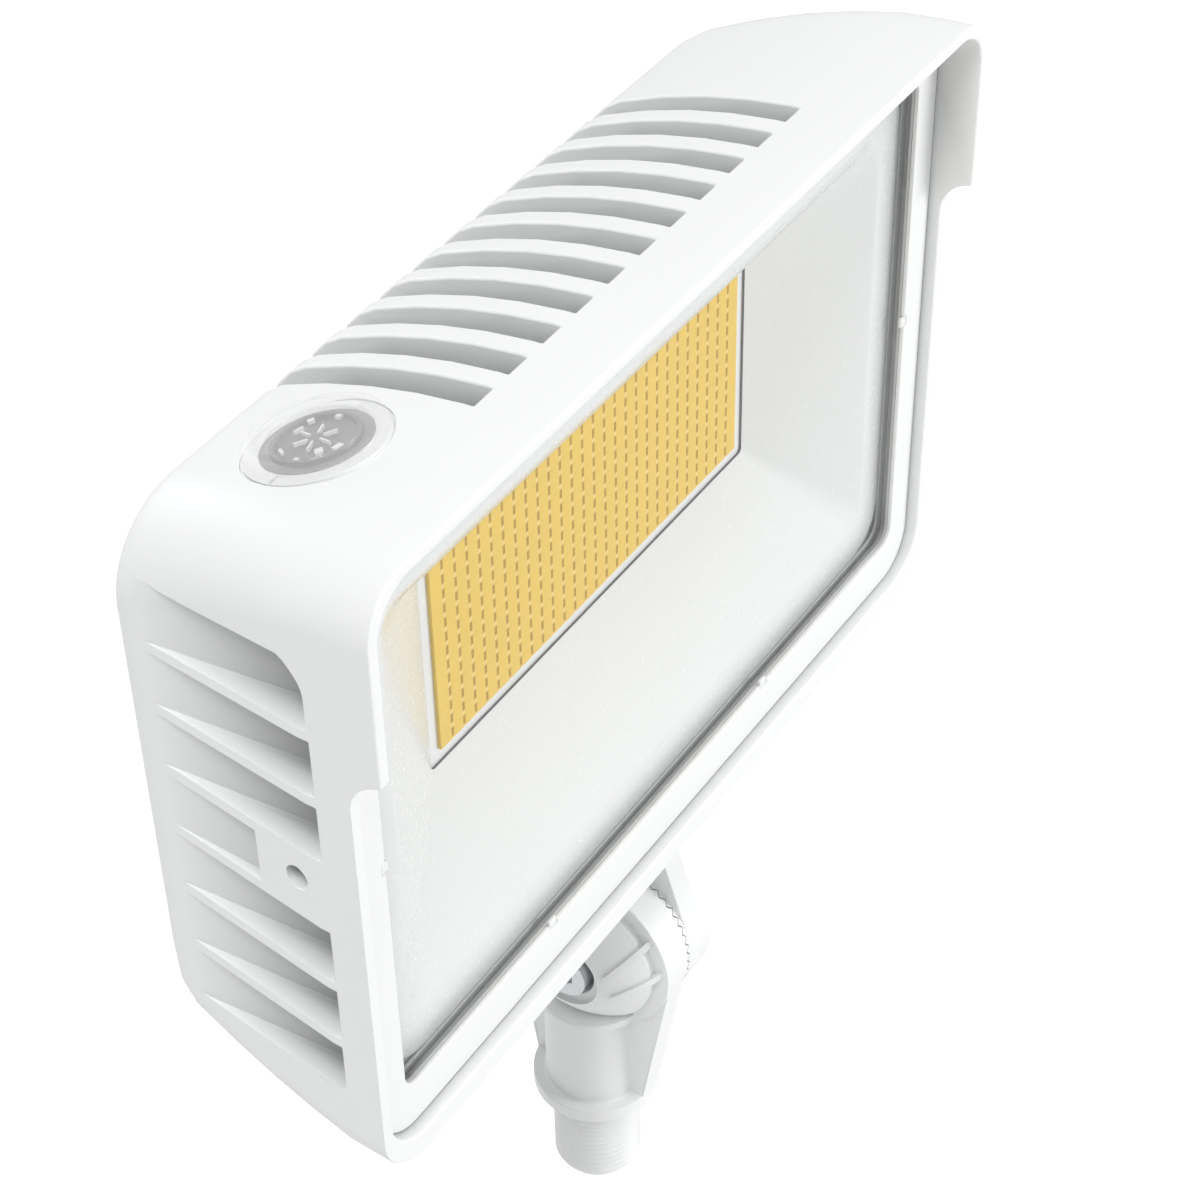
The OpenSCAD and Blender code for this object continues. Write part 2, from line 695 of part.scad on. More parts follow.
// Insulated wires from the sensor's neck, over the board, across to the driver
module sensor_leads() color("dimgray")
    for (i = [0:2]) {
        x0 = -sensor_x + (i - 1) * 3;
        x1 = driver_x - (i - 1) * 3;
        d0 = sensor_at - sensor_neck_l * sin(sensor_lean);
        d = d0 - lead_pitch * (2 - i);
        z0 = top_z(sensor_at) - sensor_neck_l * cos(sensor_lean) + (d0 - d) * tan(sensor_lean);
        z1 = (window_z + board_h / 2 + top_z(sensor_at) - sensor_neck_l * cos(sensor_lean)) / 2;
        at_depth(d) translate([x0, 0, z1]) {
            cylinder(h = z0 - z1, r = lead_r);
            sphere(r = lead_r, $fn = 24);
            bar_x(0, x1 - x0, lead_r);
        }
        translate([x1, 0, z1]) {
            at_depth(d) sphere(r = lead_r, $fn = 24);
            bar_y(d, driver_at - d, lead_r);
        }
    }

// Dusk-to-dawn sensor, turned on its own axis
module sensor_cap() color([0.92, 0.95, 0.97, 0.45]) sensor_place() difference() {
    union() {
        translate([0, 0, -0.1]) cylinder(h = 1.7, r = sensor_r);
        translate([0, 0, 1.6]) cylinder(h = 0.9, r1 = sensor_r, r2 = sensor_r - 0.9);
        translate([0, 0, 1.6]) intersection() {
            translate([0, 0, -17]) sphere(r = 21, $fn = 72);
            cylinder(h = 8, r = sensor_neck_r + 0.6);
        }
    }
    translate([0, 0, -1]) cylinder(h = 2.2, r = sensor_neck_r + 0.6);
    translate([0, 0, 1.1]) intersection() {
        translate([0, 0, -17]) sphere(r = 19.8, $fn = 72);
        cylinder(h = 8, r = sensor_neck_r - 0.8);
    }
}

module sensor_cell() color("dimgray") sensor_place() {
    translate([0, 0, 0.1]) cylinder(h = 0.9, r = sensor_neck_r - 1.5);
    for (a = [0, 90]) rotate(a) translate([-5.5, -0.9, 0.8]) cube([11, 1.8, 1]);
}

module sensor_body() color("lightgray") sensor_place() difference() {
    union() {
        translate([0, 0, -sensor_neck_l]) cylinder(h = sensor_neck_l, r = sensor_neck_r);
        translate([0, 0, -0.1]) cylinder(h = 0.2, r = sensor_neck_r + 0.4);
    }
    translate([0, 0, -sensor_neck_l + 2]) cylinder(h = sensor_neck_l - 4, r = sensor_neck_r - 2);
}

module sensor_gasket() color("whitesmoke") sensor_place()
    translate([0, 0, -0.9]) difference() {
        cylinder(h = 0.8, r = sensor_r + 0.2);
        translate([0, 0, -cut]) cylinder(h = 0.8 + 2 * cut, r = sensor_neck_r + 0.1);
    }

module sensor_nut() color("gray") sensor_place()
    translate([0, 0, -sensor_wall - 3.5]) difference() {
        cylinder(h = 3.5, r = sensor_neck_r + 3.2, $fn = 6);
        translate([0, 0, -cut]) cylinder(h = 3.5 + 2 * cut, r = sensor_neck_r + thread_gap);
    }

// Knuckle
module teeth(x) {
    for (i = [0:tooth_count - 1])
        rotate([i * 360 / tooth_count, 0, 0])
            translate([x, 0, (seat_ring_r + disc_r) / 2 - 0.2])
                rotate([0, 0, 45])
                    cube([tooth_h * sqrt(2), tooth_h * sqrt(2), disc_r - seat_ring_r - 1], center = true);
}

// Ring chamber round the bolt, where the wires cross the joint
module wire_ring(x, l) {
    difference() {
        bar_x(x, l, ring_out);
        bar_x(x - cut, l + 2 * cut, ring_in);
    }
}

// Outline, from a disc's side along lines that leave it at a lean, up to a
// height above its centre, or down to one below it
module disc_web(lean, h) {
    s = sign(h);
    y = disc_r * cos(lean);
    z = disc_r * sin(lean);
    end = y - (abs(h) - z) * tan(lean);
    translate([0, pivot_z]) polygon([[-y, s * z], [y, s * z], [end, h], [-end, h]]);
}

module knuckle_stem() color("white") difference() {
    union() {
        translate([0, 0, pivot_z]) {
            bar_x(dome_face, stem_face - dome_face, disc_r);
            teeth(stem_face);
            // Domed cap over the bolt head
            intersection() {
                dome_ball(0);
                bar_x(dome_tip - cut, dome_face - dome_tip + 2 * cut, dome_r);
            }
            dome_rib(-11, 3, 50, 15);
            dome_rib(-12.5, -3, 32, 11);
        }
        // Plate from the disc down to the collar
        run_x(dome_face + 0.8, stem_face - dome_face - 0.8) disc_web(stem_lean, collar_t - 0.2 - pivot_z);
        // Round neck with a shelf under the dome
        intersection() {
            union() {
                translate([0, 0, collar_t - 0.2]) cylinder(h = pivot_z - collar_t - 5, r = neck_r);
                translate([0, 0, shelf_z - 4]) cylinder(h = 2, r1 = neck_r, r2 = shelf_r);
                translate([0, 0, shelf_z - 2]) cylinder(h = 2, r = shelf_r);
            }
            union() {
                translate([-40, -40, 0]) cube([40 + stem_face, 80, shelf_z]);
                translate([-40, -40, 0]) cube([80, 80, pivot_z - disc_r - 2.5]);
            }
        }
        cylinder(h = collar_t, r = collar_r);
        translate([0, 0, -thread_l + 1.5]) cylinder(h = thread_l - 1.5, r = thread_r);
        translate([0, 0, -thread_l]) cylinder(h = 1.5, r1 = thread_r - 1, r2 = thread_r);
    }
    translate([0, 0, -thread_l - cut]) cylinder(h = thread_l + cut + 18, r = wire_r);
    translate([-2, 0, 14]) cylinder(h = pivot_z - ring_in - 14, r = wire_up_r);
    translate([0, 0, pivot_z]) {
        wire_ring(stem_face - 4, 4 + cut);
        bar_x(dome_tip - cut, 60, bolt_r + 0.2);
        bar_x(dome_tip - cut, bolt_pocket_l + cut, bolt_pocket_r);
        bar_x(dome_tip - cut, bolt_seat - dome_tip + cut, bolt_head_r + 1);
    }
}

// Ball that shapes the dome, grown by a height
module dome_ball(grow) {
    translate([dome_tip + 24, 0, 0]) sphere(r = 24 + grow, $fn = 96);
}

// Raised line on the dome from a place in Y and Z, rising at an angle
module dome_rib(y, z, angle, l) {
    intersection() {
        dome_ball(0.7);
        bar_x(dome_tip - 2, dome_reach + 2, disc_r - 0.6);
        translate([dome_tip - 2, y, z]) rotate([-angle, 0, 0])
            translate([0, -l, -0.8]) cube([dome_reach + 2, l, 1.6]);
    }
}

module knuckle_head() color("white") difference() {
    union() {
        translate([0, 0, pivot_z]) {
            bar_x(head_face, head_out - head_face, disc_r);
            teeth(head_face);
        }
        run_x(head_face, head_neck_t) disc_web(head_lean, flange_top - pivot_z);
        // Round rib that carries the wires up the neck
        intersection() {
            translate([wire_up_x, 0, pivot_z + ring_out])
                cylinder(h = flange_top - pivot_z - ring_out, r = wire_up_r + 2);
            translate([head_face, -20, 0]) cube([40, 40, flange_top]);
        }
        translate([flange_x - flange_w / 2, -flange_d / 2, flange_top - flange_t])
            cube([flange_w, flange_d, flange_t]);
    }
    translate([0, 0, pivot_z]) {
        wire_ring(head_face - cut, 5 + cut);
        bar_x(head_face - cut, 40, pivot_bore_r);
        translate([nut_at, 0, 0]) rotate([0, 90, 0])
            cylinder(h = nut_h + cut, r = (nut_flat + 0.4) / sqrt(3), $fn = 6);
    }
    translate([wire_up_x, 0, pivot_z + ring_in + 0.6]) cylinder(h = flange_top, r = wire_up_r);
    bracket_screw_places() translate([0, 0, flange_top - flange_t - cut])
        cylinder(h = flange_t + 2 * cut, r = bracket_screw_r + thread_gap);
}

module knuckle_ring() color("black") translate([stem_face, 0, pivot_z]) difference() {
    bar_x(0.15, face_gap - 0.3, seat_ring_r - 0.2);
    bar_x(-cut, face_gap + 2 * cut, seat_ring_r - 1.8);
}

module knuckle_nut() color("silver") translate([nut_at, 0, pivot_z]) rotate([0, 90, 0]) difference() {
    cylinder(h = nut_h - 0.4, r = nut_flat / sqrt(3), $fn = 6);
    translate([0, 0, -cut]) cylinder(h = nut_h + 2 * cut, r = pivot_bore_r);
}

module knuckle_bolt() color("silver") translate([0, 0, pivot_z]) difference() {
    union() {
        bar_x(bolt_seat - washer_t - cut, nut_at + nut_h - 0.6 - bolt_seat + washer_t + cut, bolt_r);
        bar_x(bolt_seat - washer_t - bolt_head_h, bolt_head_h, bolt_head_r);
    }
    translate([bolt_seat - washer_t - bolt_head_h - cut, 0, 0]) rotate([0, 90, 0])
        cylinder(h = bolt_head_h * 0.6 + cut, r = bolt_r * 0.85, $fn = 6);
}

module bolt_washer() color("silver") translate([bolt_seat - washer_t, 0, pivot_z]) difference() {
    bar_x(0, washer_t, bolt_head_r + 0.5);
    bar_x(-cut, washer_t + 2 * cut, bolt_r + 0.2);
}

// Joint between the knuckle and the housing
module bracket_gasket() color("black") difference() {
    translate([flange_x - flange_w / 2 + 1, -flange_d / 2 + 1, flange_top])
        cube([flange_w - 2, flange_d - 2, bracket_gasket_t]);
    bracket_screw_places() translate([0, 0, flange_top - cut]) cylinder(h = 4, r = bracket_screw_r + 0.4);
    translate([wire_up_x, 0, flange_top - cut]) cylinder(h = 4, r = wire_up_r + 1.6);
}

module bracket_screws() color("silver") bracket_screw_places()
    translate([0, 0, body_z + bracket_pad_t]) difference() {
        union() {
            translate([0, 0, 1 - bracket_pad_t - bracket_gasket_t - flange_t])
                cylinder(h = bracket_pad_t + bracket_gasket_t + flange_t, r = bracket_screw_r);
            cylinder(h = 3, r = 4.4);
        }
        translate([0, 0, 1.2]) cylinder(h = 3, r = 2.2, $fn = 6);
    }

module wire_bush() color("black") translate([wire_up_x, 0, 0]) difference() {
    union() {
        translate([0, 0, flange_top])
            cylinder(h = bracket_gasket_t + bracket_pad_t, r = wire_up_r + 1.5);
        translate([0, 0, body_z + bracket_pad_t]) cylinder(h = 1.5, r = wire_up_r + 2.6);
    }
    translate([0, 0, flange_top - cut]) cylinder(h = bracket_pad_t + 11, r = wire_up_r);
}

housing();
front_frame();
frame_screws();
retaining_clips();
lens();
lens_gasket();
reflector();
led_array();
led_board();
board_screws();
thermal_pad();
driver();
driver_screws();
led_leads();
sensor_leads();
earth_screw();
sensor_cap();
sensor_cell();
sensor_body();
sensor_gasket();
sensor_nut();
bracket_gasket();
bracket_screws();
wire_bush();
knuckle_head();
knuckle_nut();
knuckle_ring();
knuckle_stem();
knuckle_bolt();
bolt_washer();
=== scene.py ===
"""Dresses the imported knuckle-mounted flood light: its castings, light board, sensor and stage."""

import math

import bmesh
import bpy
from bpy.props import FloatProperty, FloatVectorProperty, IntProperty, PointerProperty
from bpy.types import Operator, Panel, PropertyGroup
from mathutils import Matrix, Vector
from mathutils.bvhtree import BVHTree


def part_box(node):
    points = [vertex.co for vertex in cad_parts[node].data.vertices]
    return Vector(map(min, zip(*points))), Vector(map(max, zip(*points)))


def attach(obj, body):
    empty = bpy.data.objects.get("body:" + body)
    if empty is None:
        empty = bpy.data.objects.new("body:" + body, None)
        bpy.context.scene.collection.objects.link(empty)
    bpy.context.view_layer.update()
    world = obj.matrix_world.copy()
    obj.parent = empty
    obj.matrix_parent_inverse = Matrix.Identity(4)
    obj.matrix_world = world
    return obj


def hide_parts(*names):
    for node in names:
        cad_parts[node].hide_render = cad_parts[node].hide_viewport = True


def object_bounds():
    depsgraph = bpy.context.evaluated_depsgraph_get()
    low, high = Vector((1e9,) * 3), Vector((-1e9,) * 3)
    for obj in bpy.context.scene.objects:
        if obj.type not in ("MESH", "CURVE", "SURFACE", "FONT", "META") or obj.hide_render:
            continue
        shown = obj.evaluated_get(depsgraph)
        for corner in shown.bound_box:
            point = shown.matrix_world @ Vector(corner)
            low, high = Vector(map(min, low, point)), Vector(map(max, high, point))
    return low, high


bl_info = {
    "name": "Flood light dressing",
    "version": (1, 0, 0),
    "blender": (4, 5, 0),
    "location": "3D View > Sidebar > Flood light",
    "description": "Rounds the castings and makes the finishes, light board and sensor of a flood light",
    "category": "Object",
}

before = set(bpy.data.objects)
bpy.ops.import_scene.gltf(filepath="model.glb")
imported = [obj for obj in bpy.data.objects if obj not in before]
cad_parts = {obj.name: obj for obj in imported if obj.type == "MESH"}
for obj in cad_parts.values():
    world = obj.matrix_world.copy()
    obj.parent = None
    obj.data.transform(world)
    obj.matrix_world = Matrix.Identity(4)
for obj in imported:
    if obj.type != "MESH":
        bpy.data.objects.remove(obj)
CAD_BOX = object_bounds()

MM = 0.001
HEAD = "head"
STEM = "stem"

# Distance at which two points are one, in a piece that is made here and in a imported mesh
NEAR = 0.001 * MM
WELD = 0.02 * MM
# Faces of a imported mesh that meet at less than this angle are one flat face
FLAT = math.radians(0.4)

# Places along an edge, as shares of its length, at which the room beside it is measured
PROBES = (0.08, 0.5, 0.92)
# Share of that room that a rounded edge takes, and the least share of the radius that it keeps
ROOM_SHARE = 0.4
LEAST_SHARE = 0.003
# Edges that run on into each other, by the cosine and the sine between them, may differ in size by a
# share of their length times that sine, and are evened out in this many rounds at most
FOLLOWS = -0.3
LEAST_BEND = 0.005
STEP_SHARE = 0.3
EVENING_ROUNDS = 200

# Places in the frame: the housing's rim before the front frame, the tilt axis and the joint's middle
FRAME_DEPTH = 2.7 * MM
RIM_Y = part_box("front_frame")[0].y - FRAME_DEPTH
PIVOT_Z = 49 * MM
JOINT_X = 5.5 * MM
# Depth behind the rim up to which the housing's enamel has no painted shade
SHADE_FREE_DEPTH = 5 * MM

# The knuckle's tooth rings: outer radius, wall, depth into a half and gap between the two
RING_RADIUS = 22.46 * MM
RING_WALL = 0.6 * MM
RING_DEPTH = 2.6 * MM
RING_GAP = 0.34 * MM

# The stem's thread: outer radius, both ends, and the radii between which the pin's skin lies
THREAD_RADIUS = 10.67 * MM
THREAD_ENDS = (-26.2 * MM, -0.9 * MM)
PIN_SKIN = (9 * MM, 10.8 * MM)

# The lip's outer edge: half width, low end and high end
LIP_EDGE = (96.6 * MM, 108.7 * MM, 232.6 * MM)
# Shares of the lip's width, out from the crest, with the share of painted shade there, darker towards the
# outer edge
LIP_STEPS = (
    (-0.5, 0.0), (-0.24, 0.0), (-0.12, 0.0), (-0.05, 0.0), (0.0, 0.0), (0.05, 0.0), (0.12, 0.0), (0.24, 0.02),
    (0.36, 0.1), (0.48, 0.24), (0.6, 0.42), (0.72, 0.62), (0.86, 0.82), (1.0, 1.0),
)

# Share of a chip's pitch, from its edges, within which the middles of its grooves and bridges lie
EDGE_SHARE = 0.2

# The sensor's lean, and its seat's distance behind the rim and height
SENSOR_LEAN = math.radians(15.38)
SENSOR_DEPTH = 28 * MM
SENSOR_HEIGHT = 241.775 * MM
# Pale pads in the sensor's cell, painted highlights of the clear cap: direction in degrees, then distance,
# length and width in millimetres
CELL_PAINTED_HIGHLIGHTS = (
    (46, 6.6, 1.0, 1.3), (2, 6.9, 0.9, 1.2), (74, 5.3, 0.6, 2.0), (146, 6.4, 0.6, 1.7),
    (225, 5.2, 1.7, 1.5), (255, 6.6, 1.4, 1.9), (190, 7.0, 0.8, 0.9),
)

FLOOR_RADIUS = 6.0
# Lamps of the stage: direction, size in metres and level
LAMPS = (
    ("upper lamp", (-0.43, -0.1, 0.9), 0.9, 0.58),
    ("front lamp", (0.45, -0.86, 0.25), 1.1, 0.51),
    ("back lamp", (0.25, 0.93, 0.28), 1.4, 0.2),
)


# Sizes and colours that a user would change


class CastingSettings(PropertyGroup):
    """Edges and finish of the die-cast pieces."""

    edge_radius: FloatProperty(
        name="Housing edges", description="Radius of the housing's cast edges",
        default=0.6 * MM, unit="LENGTH", subtype="DISTANCE")
    frame_radius: FloatProperty(
        name="Frame edges", description="Radius of the front frame's edges",
        default=0.3 * MM, unit="LENGTH", subtype="DISTANCE")
    knuckle_radius: FloatProperty(
        name="Knuckle edges", description="Radius of the knuckle's cast edges",
        default=0.8 * MM, unit="LENGTH", subtype="DISTANCE")
    enamel: FloatVectorProperty(
        name="Enamel", description="Colour of the powder coat",
        default=(0.86, 0.872, 0.862), size=3, subtype="COLOR", min=0.0, max=1.0)
    grain: FloatProperty(
        name="Grain", description="Size of the powder coat's grain",
        default=0.7 * MM, unit="LENGTH", subtype="DISTANCE")
    # Painted shade: the housing's colour darkens to this deep in its slots and pockets, where shade falls
    recess_painted_shade: FloatVectorProperty(
        name="Painted recess shade", description="Colour of the painted shade deep in slots and pockets",
        default=(0.34, 0.348, 0.342), size=3, subtype="COLOR", min=0.0, max=1.0)
    painted_shade_depth: FloatProperty(
        name="Painted recess shade depth", description="Depth of a slot or pocket at which the painted shade is darkest",
        default=4.2 * MM, unit="LENGTH", subtype="DISTANCE")
    teeth: IntProperty(
        name="Teeth", description="Teeth round the knuckle's joint, a multiple of four",
        default=52, min=24, max=96)
    tooth_height: FloatProperty(
        name="Tooth height", description="Height of the teeth round the knuckle's joint",
        default=1.0 * MM, unit="LENGTH", subtype="DISTANCE")


class ThreadSettings(PropertyGroup):
    """Pipe thread of the stem."""

    pitch: FloatProperty(
        name="Pitch", description="Distance from one thread ridge to the next",
        default=1.814 * MM, unit="LENGTH", subtype="DISTANCE")
    depth: FloatProperty(
        name="Depth", description="Height of a thread ridge",
        default=0.5 * MM, unit="LENGTH", subtype="DISTANCE")
    steps: IntProperty(
        name="Steps", description="Steps in each turn of the thread", default=48, min=16, max=96)


class ReflectorSettings(PropertyGroup):
    """Pressed reflector round the light board."""

    corner_radius: FloatProperty(
        name="Front corners", description="Radius of the reflector's front corners",
        default=7.0 * MM, unit="LENGTH", subtype="DISTANCE")
    window_radius: FloatProperty(
        name="Window corners", description="Radius of the corners of the reflector's window",
        default=1.2 * MM, unit="LENGTH", subtype="DISTANCE")
    border: FloatProperty(
        name="Window border", description="Width of the light board that shows round the emitter field",
        default=3.3 * MM, unit="LENGTH", subtype="DISTANCE")
    thickness: FloatProperty(
        name="Thickness", description="Thickness of the sheet",
        default=0.45 * MM, unit="LENGTH", subtype="DISTANCE")
    crest: FloatProperty(
        name="Crest", description="Softness of the crest between the walls and the lip",
        default=0.5 * MM, unit="LENGTH", subtype="DISTANCE")
    lip_side: FloatProperty(
        name="Lip at the sides", description="Width of the lip beside the walls",
        default=8.2 * MM, unit="LENGTH", subtype="DISTANCE")
    lip_level: FloatProperty(
        name="Lip above and below", description="Width of the lip above and below the walls",
        default=9.2 * MM, unit="LENGTH", subtype="DISTANCE")
    # Painted shade: the lip's colour darkens to this towards its outer edge, beside the frame
    lip_painted_shade: FloatVectorProperty(
        name="Lip painted shade", description="Colour of the painted shade at the lip's outer edge",
        default=(0.62, 0.625, 0.62), size=3, subtype="COLOR", min=0.0, max=1.0)
    paint: FloatVectorProperty(
        name="Paint", description="Colour of the reflector's enamel",
        default=(0.8, 0.81, 0.8), size=3, subtype="COLOR", min=0.0, max=1.0)


class BoardSettings(PropertyGroup):
    """Emitter field with its columns and rows of chips."""

    columns: IntProperty(name="Columns", description="Number of chip columns", default=28, min=2, max=40)
    rows: IntProperty(name="Rows", description="Number of chip rows", default=13, min=2, max=24)
    groove: FloatProperty(
        name="Groove", description="Width of the grooves between the columns",
        default=0.8 * MM, unit="LENGTH", subtype="DISTANCE")
    bridge: FloatProperty(
        name="Bridge", description="Height of the bridges between two rows",
        default=1.25 * MM, unit="LENGTH", subtype="DISTANCE")
    sink: FloatProperty(
        name="Groove depth", description="Depth of the grooves and width of their sloping walls",
        default=0.05 * MM, unit="LENGTH", subtype="DISTANCE")
    rise: FloatProperty(
        name="Cell height", description="Height of a cell over the field",
        default=0.08 * MM, unit="LENGTH", subtype="DISTANCE")
    slope: FloatProperty(
        name="Cell slope", description="Width of a cell's sloping edge",
        default=0.45 * MM, unit="LENGTH", subtype="DISTANCE")
    phosphor: FloatVectorProperty(
        name="Phosphor", description="Colour of the phosphor silicone",
        default=(0.83, 0.555, 0.05), size=3, subtype="COLOR", min=0.0, max=1.0)
    groove_colour: FloatVectorProperty(
        name="Groove colour", description="Colour at the bottom of the grooves",
        default=(0.5, 0.285, 0.012), size=3, subtype="COLOR", min=0.0, max=1.0)
    bridge_colour: FloatVectorProperty(
        name="Bridge colour", description="Colour of the bridges between the grooves",
        default=(0.86, 0.62, 0.16), size=3, subtype="COLOR", min=0.0, max=1.0)


class SensorSettings(PropertyGroup):
    """Dusk-to-dawn sensor on the housing's top."""

    spokes: IntProperty(name="Spokes", description="Number of ribs round the cell", default=6, min=3, max=12)
    spoke_width: FloatProperty(
        name="Spoke width", description="Width of a rib",
        default=0.42 * MM, unit="LENGTH", subtype="DISTANCE")
    cell_colour: FloatVectorProperty(
        name="Cell colour", description="Colour of the dark moulding under the cap",
        default=(0.2, 0.2, 0.194), size=3, subtype="COLOR", min=0.0, max=1.0)


class StageSettings(PropertyGroup):
    """Floor, lamps and camera."""

    floor_drop: FloatProperty(
        name="Floor", description="Distance of the floor below the stem's end",
        default=0.2, unit="LENGTH", subtype="DISTANCE")
    floor_glow: FloatProperty(
        name="Floor glow", description="Light that the camera sees on the floor besides the lamps'",
        default=0.6, min=0.0, max=2.0)
    surround: FloatProperty(
        name="Surround", description="Level of the even light from all round", default=0.42, min=0.0, max=2.0)
    lamp_distance: FloatProperty(
        name="Lamps", description="Distance of the lamps from the object's middle",
        default=2.5, unit="LENGTH", subtype="DISTANCE")
    azimuth: FloatProperty(
        name="Azimuth", description="Camera's direction round the object, 0 looks along +Y",
        default=math.radians(-56.42), subtype="ANGLE")
    elevation: FloatProperty(
        name="Elevation", description="Camera's height above the horizon",
        default=math.radians(41.34), subtype="ANGLE")
    roll: FloatProperty(
        name="Roll", description="Camera's turn about its own line of sight",
        default=math.radians(-1.18), subtype="ANGLE")
    target: FloatVectorProperty(
        name="Target", description="Point that the camera looks at",
        default=(14.8 * MM, 6.0 * MM, 138.1 * MM), size=3, unit="LENGTH", subtype="XYZ")
    distance: FloatProperty(
        name="Distance", description="Distance from the camera to the target",
        default=0.61655, unit="LENGTH", subtype="DISTANCE")
    lens: FloatProperty(
        name="Lens", description="Focal length of the camera's lens, in millimetres",
        default=86.5, min=10.0, max=300.0)


class FloodLightSettings(PropertyGroup):
    """All settings of the flood light's dressing."""

    casting: PointerProperty(type=CastingSettings)
    thread: PointerProperty(type=ThreadSettings)
    reflector: PointerProperty(type=ReflectorSettings)
    board: PointerProperty(type=BoardSettings)
    sensor: PointerProperty(type=SensorSettings)
    stage: PointerProperty(type=StageSettings)


# Finishes


def shade(colour, factor):
    """The colour made lighter or darker, as four channels."""
    return tuple(min(1.0, c * factor) for c in colour) + (1.0,)


def finish(name, colour, roughness, tone=0.02, patch=25 * MM, grain=0.5 * MM, depth=0.01 * MM,
           stretch=(1, 1, 1), spread=0.05, **sockets):
    """Material with drifting tone, uneven gloss and a fine relief, all on Object coordinates."""
    found = bpy.data.materials.get(name)
    if found:
        return found
    mat = bpy.data.materials.new(name)
    mat.use_nodes = True
    tree = mat.node_tree
    make, link = tree.nodes.new, tree.links.new
    shader = tree.nodes["Principled BSDF"]
    place = make("ShaderNodeTexCoord")
    turn = make("ShaderNodeMapping")
    turn.inputs["Scale"].default_value = stretch
    link(place.outputs["Object"], turn.inputs["Vector"])

    drift = make("ShaderNodeTexNoise")
    drift.inputs["Scale"].default_value = 1 / patch
    drift.inputs["Detail"].default_value = 3
    link(place.outputs["Object"], drift.inputs["Vector"])
    tint = make("ShaderNodeMix")
    tint.data_type = "RGBA"
    tint.inputs["A"].default_value = shade(colour, 1 - tone)
    tint.inputs["B"].default_value = shade(colour, 1 + tone)
    link(drift.outputs["Fac"], tint.inputs["Factor"])
    link(tint.outputs["Result"], shader.inputs["Base Color"])

    fine = make("ShaderNodeTexNoise")
    fine.inputs["Scale"].default_value = 1 / grain
    fine.inputs["Detail"].default_value = 2
    link(turn.outputs["Vector"], fine.inputs["Vector"])
    gloss = make("ShaderNodeMapRange")
    gloss.inputs["To Min"].default_value = max(0.0, roughness - spread)
    gloss.inputs["To Max"].default_value = min(1.0, roughness + spread)
    link(fine.outputs["Fac"], gloss.inputs["Value"])
    link(gloss.outputs["Result"], shader.inputs["Roughness"])
    relief = make("ShaderNodeBump")
    relief.inputs["Strength"].default_value = 0.6
    relief.inputs["Distance"].default_value = depth
    link(fine.outputs["Fac"], relief.inputs["Height"])
    link(relief.outputs["Normal"], shader.inputs["Normal"])
    for socket, value in sockets.items():
        shader.inputs[socket.replace("_", " ")].default_value = value
    return mat


def with_painted_shade(mat, colour):
    """Lets a finish darken to a painted shade colour as the piece's painted shade attribute says."""
    tree = mat.node_tree
    if "Attribute" in tree.nodes:
        return mat
    shader = tree.nodes["Principled BSDF"]
    full = shader.inputs["Base Color"].links[0].from_socket
    painted_shade = tree.nodes.new("ShaderNodeAttribute")
    painted_shade.attribute_name = "painted_shade"
    # Mix towards the colour of the painted shade
    thin = tree.nodes.new("ShaderNodeMix")
    thin.data_type = "RGBA"
    thin.inputs["B"].default_value = shade(colour, 1)
    tree.links.new(painted_shade.outputs["Fac"], thin.inputs["Factor"])
    tree.links.new(full, thin.inputs["A"])
    tree.links.new(thin.outputs["Result"], shader.inputs["Base Color"])
    return mat


def enamel(settings, name="white powder coat"):
    return finish(name, settings.casting.enamel, 0.46, tone=0.012, patch=30 * MM,
                  grain=settings.casting.grain, depth=0.022 * MM)


def housing_enamel_with_painted_shade(settings):
    """Powder coat with painted shade, darker deep in the housing's slots and pockets."""
    return with_painted_shade(enamel(settings, "housing powder coat"), settings.casting.recess_painted_shade)


def reflector_paint(settings):
    """White enamel with painted shade, darker towards the lip's outer edge."""
    return with_painted_shade(finish("reflector enamel", settings.reflector.paint, 0.26, tone=0.014, patch=20 * MM,
                          grain=0.75 * MM, depth=0.035 * MM, Coat_Weight=0.35, Coat_Roughness=0.12),
                   settings.reflector.lip_painted_shade)


def steel():
    return finish("zinc plated steel", (0.66, 0.67, 0.69), 0.32, tone=0.06, patch=4 * MM, grain=0.3 * MM,
                  depth=0.006 * MM, stretch=(1, 6, 1), Metallic=1.0)


def rubber():
    return finish("black silicone rubber", (0.022, 0.022, 0.025), 0.62, tone=0.15, patch=6 * MM,
                  grain=0.4 * MM, depth=0.01 * MM)


def lens_silicone():
    return finish("lens silicone rubber", (0.56, 0.567, 0.56), 0.6, tone=0.08, patch=6 * MM, grain=0.4 * MM)


def pale_silicone():
    return finish("white silicone rubber", (0.84, 0.85, 0.84), 0.42, tone=0.04, patch=4 * MM, grain=0.4 * MM)


def clip_plastic():
    return finish("white moulded clip", (0.84, 0.85, 0.845), 0.35, tone=0.02, patch=3 * MM, grain=0.3 * MM)


def board_mask():
    return finish("white solder mask", (0.83, 0.84, 0.845), 0.4, tone=0.02, patch=8 * MM, grain=0.25 * MM,
                  depth=0.006 * MM)


def folded_sheet():
    return finish("satin aluminium sheet", (0.74, 0.75, 0.77), 0.38, tone=0.04, patch=12 * MM, grain=0.4 * MM,
                  depth=0.006 * MM, stretch=(8, 8, 1), Metallic=1.0)


def soft_pad():
    return finish("blue silicone pad", (0.21, 0.35, 0.48), 0.6, tone=0.05, patch=6 * MM, grain=0.5 * MM)


def wire_cover(name, colour):
    return finish(name, colour, 0.35, tone=0.05, patch=5 * MM, grain=0.6 * MM, depth=0.004 * MM)


